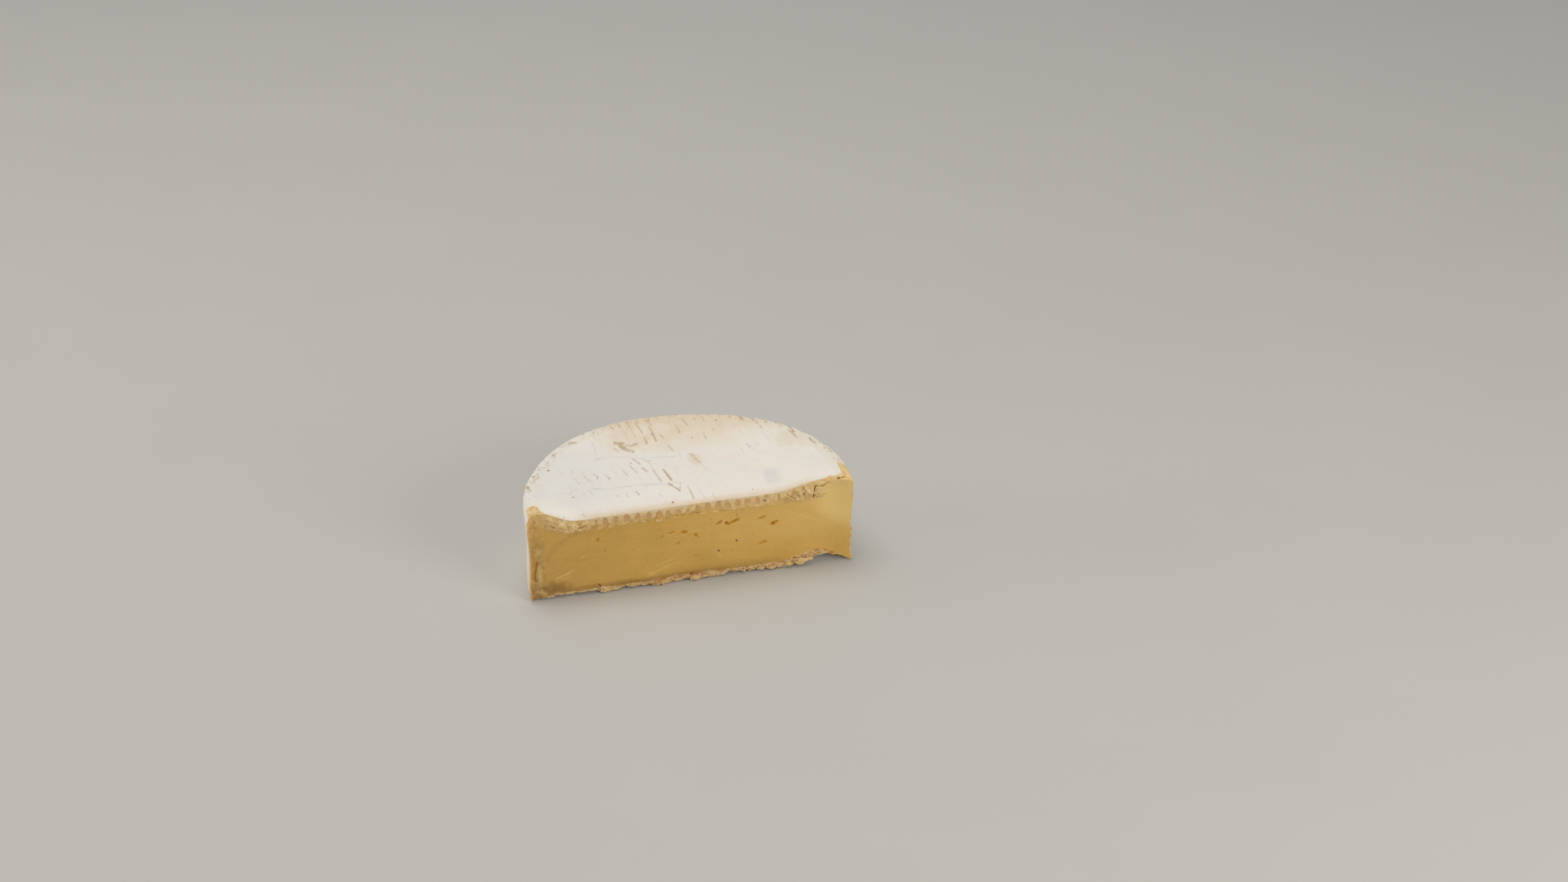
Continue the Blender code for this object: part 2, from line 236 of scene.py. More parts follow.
# Flakes that stand out of the torn rind: across, up, half length, half width, slant, height
FLAKES = (
    (31.3, 26.3, 1.8, 0.50, -38, 0.25),
    (34.4, 27.6, 1.6, 0.60, -50, 0.30),
    (36.9, 28.4, 1.4, 0.55, -65, 0.30),
    (37.6, 26.4, 1.1, 0.70, 15, 0.30),
    (41.9, 26.8, 2.2, 2.00, -6, 0.40),
    (42.4, 30.1, 2.4, 0.75, 12, 0.45),
    (12.8, 24.4, 1.3, 0.35, 5, 0.20),
    (-29.2, 23.6, 1.3, 0.55, 12, 0.30),
    (-26.0, 23.4, 1.1, 0.45, -8, 0.30),
    (-22.6, 24.0, 1.4, 0.60, 0, 0.25),
    (-19.2, 23.8, 0.9, 0.40, 15, 0.25),
    (-15.8, 23.9, 1.0, 0.40, -5, 0.25),
    (-10.9, 23.5, 1.0, 0.45, 10, 0.35),
    (-6.2, 24.0, 0.9, 0.30, 0, 0.20),
    (3.2, 24.2, 1.0, 0.30, 8, 0.20),
    (7.0, 24.2, 0.9, 0.30, -6, 0.20),
    (16.2, 24.6, 1.1, 0.35, 5, 0.25),
    (21.6, 24.3, 1.2, 0.35, 3, 0.25),
    (25.6, 24.2, 1.1, 0.35, -10, 0.25),
    (-42.5, 26.2, 1.7, 0.80, 15, 0.25),
    (-38.0, 25.2, 1.8, 0.75, 20, 0.30),
    (-34.2, 25.6, 1.3, 0.60, 30, 0.25),
)

# Cracks of the cut: from across and up, to across and up, half width, depth
CRACKS = (
    (39.5, 29.1, 39.3, 27.2, 0.22, 0.8),
    (39.5, 29.1, 42.3, 28.9, 0.16, 0.8),
    (42.3, 28.9, 44.8, 29.8, 0.14, 0.5),
    (39.3, 26.0, 39.0, 25.0, 0.20, 0.6),
    (47.1, 30.7, 47.7, 30.9, 0.26, 0.9),
    (47.7, 30.9, 49.6, 31.1, 0.16, 0.5),
    (35.2, 26.4, 36.0, 26.6, 0.26, 0.6),
    (29.9, 27.7, 33.4, 25.2, 0.12, 0.35),
    (34.0, 26.9, 34.8, 25.0, 0.10, 0.3),
    (-12.2, 24.3, -11.5, 24.9, 0.16, 0.5),
    (-49.7, 14.0, -50.4, 10.0, 0.34, 0.30),
    (-50.4, 10.0, -50.3, 7.0, 0.30, 0.28),
    (-36.3, 24.0, -33.6, 24.9, 0.16, 0.5),
    (-44.9, 26.4, -43.6, 25.6, 0.16, 0.5),
    (-42.0, 25.4, -41.4, 24.8, 0.16, 0.5),
    (-30.9, 3.2, -29.9, 2.0, 0.22, 0.5),
    (-5.5, 24.6, 2.0, 24.5, 0.12, 0.25),
    (-0.9, 0.8, -0.7, 2.3, 0.26, 0.7),
)

# The crumbly rind along the foot of the cut, and how high it reaches from place to place across
FOOT_BAND = 2.6
FOOT_LUMP = 1.1
FOOT_LIFT = 2.2
FOOT_LIFT_CENTRE = 44.0
FOOT_LIFT_WIDTH = 7.5
FOOT_LIFT_REACH = 7.0
FOOT_GAP = 0.4
FOOT_GAP_SWELL = 0.6
FOOT_GAP_FRAY = 0.16
FOOT_GAP_REACH = 3.2
FOOT_PLACES = (-53.0, -47.0, -44.0, -36.0, -31.0, -29.0, -26.5, -15.0, -9.0, -7.0, 2.0, 12.0, 20.0,
               30.0, 35.0, 39.0, 43.0, 46.0, 49.0, 53.0)
FOOT_REACHES = (0.2, 0.8, 1.8, 1.6, 1.6, 2.6, 1.6, 1.8, 1.9, 2.4, 2.4, 2.0, 2.2,
                2.5, 4.2, 5.4, 5.0, 3.4, 1.2, 0.2)

# Lumps of rind along the foot: across, how far forward of the surface, up, half length, half depth,
# half height
FOOT_LUMPS = (
    (-28.9, 0.2, 1.2, 1.4, 0.6, 0.95),
    (-10.2, 0.75, 0.4, 0.35, 0.3, 0.9),
    (0.4, 0.6, 0.9, 1.4, 0.6, 0.9),
    (3.6, 0.1, 1.0, 0.8, 0.4, 0.4),
    (9.6, 0.1, 0.9, 0.9, 0.4, 0.4),
    (16.9, 0.5, 1.0, 0.3, 0.3, 0.8),
    (22.6, 0.2, 0.9, 1.2, 0.5, 0.5),
    (26.2, 0.4, 0.8, 1.3, 0.5, 0.5),
    (35.2, 0.6, 1.7, 1.8, 0.7, 1.0),
    (37.2, 0.4, 2.3, 1.3, 0.5, 0.5),
    (30.9, 0.4, 1.5, 1.3, 0.5, 0.5),
    (33.4, 0.3, 2.6, 1.0, 0.4, 0.35),
    (41.6, 0.1, 4.6, 0.9, 0.4, 0.4),
)

# Shreds at the right end: the same measures, but forward of the plane of the cut
SIDE_SHREDS = (
    (52.1, 0.9, 12.0, 0.35, 0.4, 0.4),
    (52.0, 0.7, 11.2, 0.45, 0.4, 0.25),
    (52.1, 0.8, 9.3, 0.5, 0.4, 0.3),
    (51.9, 0.6, 8.5, 0.4, 0.4, 0.25),
    (51.8, 1.2, 25.6, 0.4, 0.5, 0.6),
)

# How the knife left the cut face
LEFT_FLARE = 0.9
LEFT_FLARE_WIDTH = 3.0
RIGHT_FLARE_TOP = 2.1
RIGHT_FLARE_FOOT = 0.5
RIGHT_FLARE_WIDTH = 12.0
FACE_WANDER = 0.5
TIP_REACH = 1.2
TIP_SIZE = 3.2

# Eyes of the paste: across, up, half length, half height, slant in degrees, strength, and how deep
# an eye of strength 1 is
EYE_DEPTH = 0.6
EYES = (
    (-30.4, 19.0, 0.9, 0.42, 55, 0.7),
    (-28.1, 14.6, 0.4, 0.28, 20, 0.5),
    (-9.9, 17.3, 0.8, 0.3, 35, 0.4),
    (-7.1, 18.5, 1.25, 0.36, 14, 0.7),
    (-3.0, 18.2, 1.25, 0.5, 5, 1.3),
    (0.7, 16.6, 0.6, 0.75, -10, 0.8),
    (-0.4, 17.0, 1.1, 0.16, -8, 0.3),
    (1.2, 16.1, 1.0, 0.25, -35, 0.5),
    (-4.9, 14.4, 0.95, 0.3, 28, 0.8),
    (8.5, 20.0, 1.4, 0.42, 28, 1.1),
    (13.2, 19.7, 2.4, 0.45, 20, 1.3),
    (11.4, 19.0, 1.1, 0.4, 0, 1.0),
    (22.0, 19.6, 1.3, 0.45, 14, 0.6),
    (22.9, 19.9, 0.7, 0.4, 0, 0.6),
    (24.2, 18.0, 0.7, 0.16, 15, 0.3),
    (25.8, 17.1, 0.75, 0.62, 15, 1.6),
    (26.9, 17.6, 0.9, 0.4, 15, 1.0),
    (22.7, 10.5, 1.3, 0.42, 12, 1.0),
    (21.9, 10.1, 0.7, 0.35, 0, 0.6),
    (0.7, 8.7, 0.9, 0.22, 10, 0.3),
    (2.1, 10.5, 0.8, 0.16, 15, 0.2),
    (19.2, 14.3, 0.5, 0.14, 60, 0.2),
    (-12.7, 14.2, 0.3, 0.2, 0, 0.3),
    (-19.1, 13.6, 0.35, 0.2, 0, 0.3),
    (-49.9, 28.3, 0.35, 0.7, 0, 0.5),
    (-50.0, 26.4, 0.35, 0.6, 20, 0.5),
)

# Half the depth of every speck in the paste, and for each one: across, up, half length, half width,
# slant in degrees, black or brown
SPECK_HALF_DEPTH = 0.12
SPECKS = (
    (10.7, 19.8, 0.45, 0.24, 25, "black"),
    (14.1, 12.4, 0.28, 0.32, 0, "black"),
    (8.2, 9.5, 0.42, 0.2, -65, "black"),
    (23.2, 26.0, 0.55, 0.12, -15, "black"),
    (23.0, 26.1, 0.30, 0.10, 60, "black"),
    (23.5, 25.8, 0.30, 0.10, -50, "black"),
    (14.1, 22.3, 0.17, 0.13, 0, "brown"),
    (14.5, 21.3, 0.15, 0.13, 0, "brown"),
    (12.6, 9.4, 0.13, 0.11, 0, "brown"),
    (5.8, 15.7, 0.12, 0.10, 0, "brown"),
    (5.8, 21.8, 0.14, 0.11, 0, "brown"),
)

# Light smears and lines of the knife: from across and up, to across and up, width, height, paleness
KNIFE_MARKS = (
    (26.5, 22.8, 47.5, 12.5, 0.32, 0.06, 0.35),
    (24.0, 24.0, 46.0, 15.5, 0.9, -0.06, 0.1),
    (-44.8, 6.6, -37.5, 9.4, 0.35, 0.09, 0.5),
    (-44.0, 5.6, -38.5, 7.8, 0.25, 0.05, 0.3),
    (-16.0, 3.4, -7.0, 6.4, 0.5, 0.07, 0.3),
    (-13.0, 6.5, -5.0, 9.2, 0.3, 0.05, 0.25),
    (-12.5, 5.2, -3.0, 7.4, 0.4, 0.05, 0.25),
    (-36.0, 13.4, -33.5, 14.2, 0.3, 0.05, 0.3),
    (-49.3, 13.4, -48.8, 5.0, 0.8, 0.25, 0.5),
    (7.4, 9.0, 9.6, 6.6, 0.35, 0.06, 0.35),
)

# Rust-coloured spots on the white rind: across, back, radius
SPOTS = (
    (-41.5, 22.7, 0.50),
    (-14.6, 24.8, 0.32),
    (17.4, 42.5, 0.45),
    (-6.0, 1.3, 0.38),
    (-36.7, 10.5, 0.24),
    (-36.1, 9.0, 0.32),
    (-8.3, 25.3, 0.26),
    (19.9, 2.1, 0.22),
    (-17.2, 27.5, 0.18),
    (7.8, 35.1, 0.20),
)

# The masks that the surface carries for its colours
MASK_NAMES = ("white", "torn", "arch", "rim", "eye", "pale", "deep", "crevice", "rust", "cool", "warm",
              "streak")

# The edge of the left corner that is bare of bloom, and of the bare strip beside the cut at the
# right: places back, and places across
BARE_CORNER_BACK = (0.0, 0.3, 1.0, 2.0, 3.0, 3.8)
BARE_CORNER_ACROSS = (-44.3, -46.4, -47.6, -48.4, -49.6, -53.0)
WHITE_START_ACROSS = (41.0, 44.7, 47.3, 48.7)
WHITE_START_BACK = (-0.3, 0.5, 0.8, 1.4)

# Warm patches of the top: across, back, reach across, reach back, strength
WARM_PATCHES = (
    (5.5, 23.0, 2.6, 5.5, 0.6),
    (39.0, 25.5, 8.0, 7.5, 0.55),
    (12.0, 36.0, 6.0, 5.0, 0.35),
    (27.0, 36.0, 7.0, 5.0, 0.3),
)

# The squarish grey smudge of the top: across, back, reach across, reach back
SMUDGE = (27.4, 6.6, 2.7, 4.1)

# Fine crumbs on the torn rind: from across, to across, step, smallest and largest size, and the
# least share of the rind's reach down the cut at which they lie
EDGE_CRUMBS = (
    (-45.5, -33.0, 1.5, 0.2, 0.4, 0.25),
    (-33.0, 31.0, 2.6, 0.12, 0.26, 0.85),
    (31.0, 43.0, 1.2, 0.18, 0.42, 0.25),
)

# Crumbs along the foot: from across, to across, step
FOOT_CRUMBS = (-46.0, 42.5, 0.55)

# How finely the surface is drawn, how much finer near the ends of the side's profile, and how much
# finer the top and base are towards the cut
COLUMNS = 900
SIDE_ROWS = 144
TOP_ROWS = 126
BASE_ROWS = 16
END_FINENESS = 0.3
TOP_CROWDING = 1.7
BASE_CROWDING = 1.6

# How far back the top, side and base follow the cut's relief, and how far up the foot's lift shows
CUT_FOLLOW = 5.0
FOOT_FOLLOW = 4.0

# The mat's grooves in the base, and a shift that gives the base other marks than the side has
BASE_GROOVE_DEPTH = 0.35
BASE_MARKS_SHIFT = 80.0

# Soft lights: name, place, size, power, colour. They face a point above the floor.
LIGHTS = (
    ("overhead_light", (-200.0, 150.0, 1100.0), 700.0, 4.7, (1.0, 0.985, 0.96)),
    ("side_light", (-900.0, 220.0, 150.0), 300.0, 2.0, (1.0, 0.975, 0.94)),
    ("front_light", (460.0, -620.0, 320.0), 400.0, 2.2, (1.0, 0.965, 0.91)),
)
LIGHTS_AIM = (0.0, 0.0, 15.0)
SURROUNDINGS_COLOUR = (1.0, 0.985, 0.96, 1.0)
SURROUNDINGS_STRENGTH = 0.41
FLOOR_HALF = 2000.0

# The camera of the photograph
LENS_MM = 49.88
SENSOR_MM = 36.0
CAMERA_DISTANCE = 700.0
CAMERA_AZIMUTH = -14.87
CAMERA_ELEVATION = 29.19
CAMERA_ROLL = 0.52
CAMERA_TARGET = (34.66, 19.63, 35.2)


def smooth(low, high, value):
    """0 below low and 1 above high, with an eased step between."""
    t = np.clip((value - low) / (high - low), 0.0, 1.0)
    return t * t * (3.0 - 2.0 * t)


def bump(centre, width, value):
    """1 at the centre, fading to nothing at about twice the width."""
    return np.exp(-((value - centre) / width) ** 2)


def lattice(ix, iy, iz, seed):
    """A repeatable value between -1 and 1 for each point of a whole-number lattice."""
    n = ix * np.uint64(374761393) + iy * np.uint64(668265263) + iz * np.uint64(1103515245)
    n = (n + np.uint64(seed * 977)) & np.uint64(0xFFFFFFFF)
    n = ((n ^ (n >> np.uint64(13))) * np.uint64(1274126177)) & np.uint64(0xFFFFFFFF)
    n = n ^ (n >> np.uint64(16))
    return n.astype(np.float64) / 2147483647.5 - 1.0


def noise(x, y, z, size, seed):
    """Smooth noise between -1 and 1 whose lumps are about size across."""
    cells = []
    steps = []
    for value in (x, y, z):
        scaled = value / size
        whole = np.floor(scaled)
        part = scaled - whole
        cells.append(whole.astype(np.int64).astype(np.uint64))
        steps.append(part * part * part * (part * (part * 6.0 - 15.0) + 10.0))
    total = 0.0
    for cx in (0, 1):
        for cy in (0, 1):
            for cz in (0, 1):
                weight = (steps[0] if cx else 1.0 - steps[0])
                weight = weight * (steps[1] if cy else 1.0 - steps[1])
                weight = weight * (steps[2] if cz else 1.0 - steps[2])
                corner = (cells[0] + np.uint64(cx), cells[1] + np.uint64(cy), cells[2] + np.uint64(cz))
                total = total + weight * lattice(*corner, seed)
    return total


def flat_noise(u, v, size, seed):
    """Smooth noise over two directions."""
    return noise(u, v, 0.0 * u, size, seed)


def layered(u, v, size, seed, layers=3):
    """Noise with finer and weaker layers added, between about -1 and 1."""
    total = 0.0
    for layer in range(layers):
        angle = 0.6 + 1.1 * layer
        turned_u = u * np.cos(angle) - v * np.sin(angle)
        turned_v = u * np.sin(angle) + v * np.cos(angle)
        total = total + flat_noise(turned_u, turned_v, size / 2.0 ** layer, seed + layer) / 1.7 ** layer
    return total / 1.6


def most(*values):
    """The greatest of several values at each place."""
    greatest = values[0]
    for value in values[1:]:
        greatest = np.maximum(greatest, value)
    return greatest


def along_and_across(x, z, across, up, slant):
    """How far a place is from a centre, along a direction at a slant in degrees and across it."""
    angle = np.radians(slant)
    u = (x - across) * np.cos(angle) + (z - up) * np.sin(angle)
    v = (z - up) * np.cos(angle) - (x - across) * np.sin(angle)
    return u, v


def line_distance(x, z, start, end):
    """Distance from a straight stroke, and how far along it a place is, from 0 to 1."""
    run = np.array(end) - np.array(start)
    length = np.hypot(*run)
    along = ((x - start[0]) * run[0] + (z - start[1]) * run[1]) / length ** 2
    along = np.clip(along, 0.0, 1.0)
    return np.hypot(x - start[0] - along * run[0], z - start[1] - along * run[1]), along


def all_masks(x, **given):
    """Every mask for a set of places, at nothing where it isn't given."""
    return {name: given.get(name, 0.0 * x) for name in MASK_NAMES}


def side_profile(rows):
    """Inset from the full radius, and height, up the rounded side from the base to the top."""
    foot = FOOT_ROUND * np.pi / 2.0
    straight = RIM_HEIGHT - FOOT_ROUND - SHOULDER
    shoulder = SHOULDER * np.pi / 2.0
    t = np.linspace(0.0, 1.0, rows + 1)
    s = (foot + straight + shoulder) * (t - END_FINENESS * np.sin(2.0 * np.pi * t) / (2.0 * np.pi))
    low = np.clip(s / FOOT_ROUND, 0.0, np.pi / 2.0)
    high = np.clip((s - foot - straight) / SHOULDER, 0.0, np.pi / 2.0)
    middle = np.clip(s - foot, 0.0, straight)
    inset = FOOT_ROUND * (1.0 - np.sin(low)) + SHOULDER * (1.0 - np.cos(high))
    height = FOOT_ROUND * (1.0 - np.cos(low)) + middle + SHOULDER * np.sin(high)
    return inset, height


def plan_radius(angle):
    """The outline's radius, fuller near both diagonals, at an angle round from the left end."""
    squarer = -FULLNESS * np.cos(4.0 * (angle - FULLNESS_TURN))
    return RADIUS + squarer + LEFT_BULGE * bump(LEFT_BULGE_ANGLE, LEFT_BULGE_WIDTH, angle)


def dish(x, y):
    """How far the top has sunk at a place in the plan."""
    reach = np.hypot(x, y)
    leftward = 0.5 - 0.5 * x / np.maximum(reach, 1.0)
    start = DISH_START_RIGHT + (DISH_START_LEFT - DISH_START_RIGHT) * leftward
    end = DISH_END_RIGHT + (DISH_END_LEFT - DISH_END_RIGHT) * leftward
    uneven = 1.0 - DISH_TILT * x / RADIUS + 0.12 * flat_noise(x, y, 28.0, 3)
    depth = DISH_DEPTH + CUT_SAG * smooth(CUT_SAG_REACH, 0.0, y)
    return depth * smooth(start, end, reach) * uneven


def roll_drop(y):
    """How far the rind leans and then rolls down towards the cut's upper edge."""
    lean = EDGE_LEAN * np.clip(1.0 - y / EDGE_LEAN_REACH, 0.0, 1.0) ** 2
    return lean + EDGE_DROP * np.clip(1.0 - y / EDGE_ROLL, 0.0, 1.0) ** 2.3


def strokes(x, y, lines, seed):
    """How strongly a place is marked by a list of ragged strokes."""
    total = 0.0 * x
    rag = 0.5 * flat_noise(x, y, 0.7, seed) + 0.35 * flat_noise(x, y, 1.6, seed + 1)
    for x0, y0, x1, y1, width, strength in lines:
        reach = line_distance(x, y, (x0, y0), (x1, y1))[0] / width + rag
        total = np.maximum(total, STREAK_STRENGTH * strength * smooth(1.7, 0.3, reach))
    return total


def mat_dents(x, y):
    """How deep a place of the top lies in the mat's grooves, from 0 to 1, and its place in pitches."""
    wander = 0.3 * flat_noise(x, y, 14.0, 11) + 0.12 * flat_noise(x, y, 3.0, 13)
    phase = (x + MAT_LEAN * y - MAT_PHASE + wander) / MAT_PITCH
    off = (phase - np.round(phase)) * MAT_PITCH
    return smooth(0.9, 0.1, np.abs(off)), phase


def rim_dents(x, y):
    """Depth of the small dents that the mat left along the rim."""
    uneven = 0.5 + 0.5 * flat_noise(x, y, 7.0, 53)
    dents = mat_dents(x, y)[0] * uneven + 0.6 * flat_noise(x, y, 3.2, 54)
    return RIM_DENT * dents * smooth(6.0, 14.0, y)


def arch_marks(x, z):
    """1 inside the tan arches of the torn rind, and how near a place is to an arch's upper edge."""
    inside = 0.0 * x
    rim = 0.0 * x
    wobble = 0.08 * flat_noise(x, z, 0.6, 74) + 0.1 * flat_noise(x, z, 1.4, 75)
    for across, tip, foot, half_width, roundness in ARCHES:
        rise = np.clip((z - foot) / (tip - foot), 0.0, 1.0)
        width = ARCH_FULLNESS * half_width * (1.0 - rise ** roundness) ** 0.65
        beyond = np.abs(x - across) - width + wobble + 2.0 * np.maximum(z - tip, 0.0)
        arch = smooth(0.14, -0.14, beyond) * smooth(foot - 0.6, foot + 1.0, z)
        inside = np.maximum(inside, arch)
        edge = np.exp(-((beyond + 0.08) / 0.14) ** 2) * smooth(0.4, 0.95, rise)
        rim = np.maximum(rim, edge)
    return inside, rim


def flake_relief(x, z):
    """Height of the flakes that stand out of the torn rind, each tilted to one side."""
    height = 0.0 * x
    wobble = 0.3 * flat_noise(x, z, 0.9, 78) + 0.18 * flat_noise(x, z, 0.4, 79)
    for across, up, length, width, slant, proud in FLAKES:
        u, v = along_and_across(x, z, across, up, slant)
        shape = (np.abs(u / length) ** 3.0 + np.abs(v / width) ** 3.0) ** (1.0 / 3.0) + wobble
        tilt = 0.65 - 0.35 * np.clip(v / width, -1.0, 1.0)
        height = np.maximum(height, proud * tilt * smooth(1.08, 0.9, shape))
    return height


def crack_depth(x, z):
    """Depth of the cracks of the cut face."""
    depth = 0.0 * x
    wander_x = x + 0.22 * flat_noise(x, z, 0.8, 80)
    wander_z = z + 0.22 * flat_noise(x, z, 0.8, 81)
    for x0, z0, x1, z1, width, deep in CRACKS:
        away = line_distance(wander_x, wander_z, (x0, z0), (x1, z1))[0]
        depth = np.maximum(depth, deep * smooth(1.4, 0.3, away / width))
    return depth


def path_distance(x, y, points):
    """Distance from a line through several points."""
    nearest = 1000.0 + 0.0 * x
    for start, end in zip(points[:-1], points[1:]):
        nearest = np.minimum(nearest, line_distance(x, y, start, end)[0])
    return nearest


def eye_dents(x, z):
    """Depth of the paste's eyes on the cut face, their colour, and the shade along their upper edge."""
    depth = 0.0 * x
    colour = 0.0 * x
    shade = 0.0 * x
    wobble = 0.22 * flat_noise(x, z, 0.7, 76)
    for across, up, length, height, slant, marked in EYES:
        u, v = along_and_across(x, z, across, up, slant)
        reach = np.hypot(u / length, v / height) + wobble
        depth = np.maximum(depth, EYE_DEPTH * marked * smooth(1.2, 0.4, reach))
        strength = min(1.0, 0.45 + 0.5 * marked)
        colour = np.maximum(colour, strength * smooth(1.15, 0.75, reach))
        upper = smooth(0.1, 0.9, (v - 0.3 * u) / height) * smooth(0.45, 0.85, reach)
        shade = np.maximum(shade, strength * upper * smooth(1.25, 1.0, reach))
    return depth, colour, shade


def knife_marks(x, z):
    """Height and paleness of the strokes that the knife left on the paste."""
    height = 0.0 * x
    pale = 0.0 * x
    for x0, z0, x1, z1, width, proud, paleness in KNIFE_MARKS:
        away, along = line_distance(x, z, (x0, z0), (x1, z1))
        away = away + 0.25 * width * flat_noise(x, z, 1.3, 77)
        fade = smooth(0.0, 0.2, along) * smooth(1.0, 0.75, along)
        stroke = np.exp(-(away / width) ** 2) * fade
        height = height + proud * stroke
        pale = np.maximum(pale, paleness * stroke)
    return height, pale


def foot_lift(x, y):
    """How far the bottom rind has come up from the surface that the cheese lies on."""
    near_cut = smooth(FOOT_LIFT_REACH, 0.0, y)
    arch = FOOT_LIFT * bump(FOOT_LIFT_CENTRE, FOOT_LIFT_WIDTH, x) * smooth(RADIUS, RADIUS - 5.0, x)
    ragged = FOOT_GAP + FOOT_GAP_SWELL * smooth(0.0, 0.8, noise(x, 0.0 * x, 0.0 * x, 3.6, 41))
    ragged = ragged + FOOT_GAP_FRAY * noise(x, 0.0 * x, 0.0 * x, 1.1, 42)
    ragged = smooth(FOOT_GAP_REACH, 0.4, y) * ragged
    return near_cut * arch + ragged * smooth(RADIUS, RADIUS - 4.0, np.abs(x))


def broad_relief(x, z):
    """The slow swell of the cut face, its flared ends, and the bow that the knife pressed in."""
    right_flare = RIGHT_FLARE_FOOT + (RIGHT_FLARE_TOP - RIGHT_FLARE_FOOT) * z / RIM_HEIGHT
    forward = LEFT_FLARE * smooth(-RADIUS + LEFT_FLARE_WIDTH, -RADIUS, x) ** 2
    forward = forward + right_flare * smooth(RADIUS - RIGHT_FLARE_WIDTH, RADIUS, x) ** 2
    forward = forward + FACE_WANDER * noise(x, 0.0 * x, z, 17.0, 5)
    forward = forward + 0.05 * layered(x, z, 5.0, 81)
    return forward - 0.3 * bow_shape(x, z)


def bow_shape(x, z):
    """1 along the bowed hollow that the knife pressed in at the upper left."""
    bow = np.exp(-((np.hypot((x + 31.0) / 1.2, z - 9.0) - 14.0) / 1.5) ** 2)
    return bow * smooth(-30.0, -37.0, x) * smooth(8.0, 14.0, z)


def torn_relief(x, z, seed):
    """Flat lumps and creases of torn rind, with the creases on their own."""
    lumps = 0.34 * flat_noise(x / 1.6, z, 2.1, seed) + 0.2 * flat_noise(x / 1.3, z, 1.0, seed + 1)
    lumps = lumps + 0.12 * flat_noise(x, z, 0.45, seed + 2)
    wander = flat_noise(x / 1.7, z - 0.3 * x, 2.0, seed + 3) + 0.35 * flat_noise(x, z, 0.8, seed + 4)
    folds = np.exp(-(wander / 0.07) ** 2) * smooth(-0.1, 0.4, flat_noise(x, z, 3.0, seed + 5))
    return lumps, folds


def strata(x, z, seed):
    """Thin ragged layers that lie along the foot, from 0 to 1."""
    bent = z + 0.5 * flat_noise(x, z, 3.0, seed) + 0.15 * flat_noise(x, z, 0.9, seed + 1)
    return 1.0 - np.abs(flat_noise(x / 3.2, bent, 0.75, seed + 2)) ** 0.7


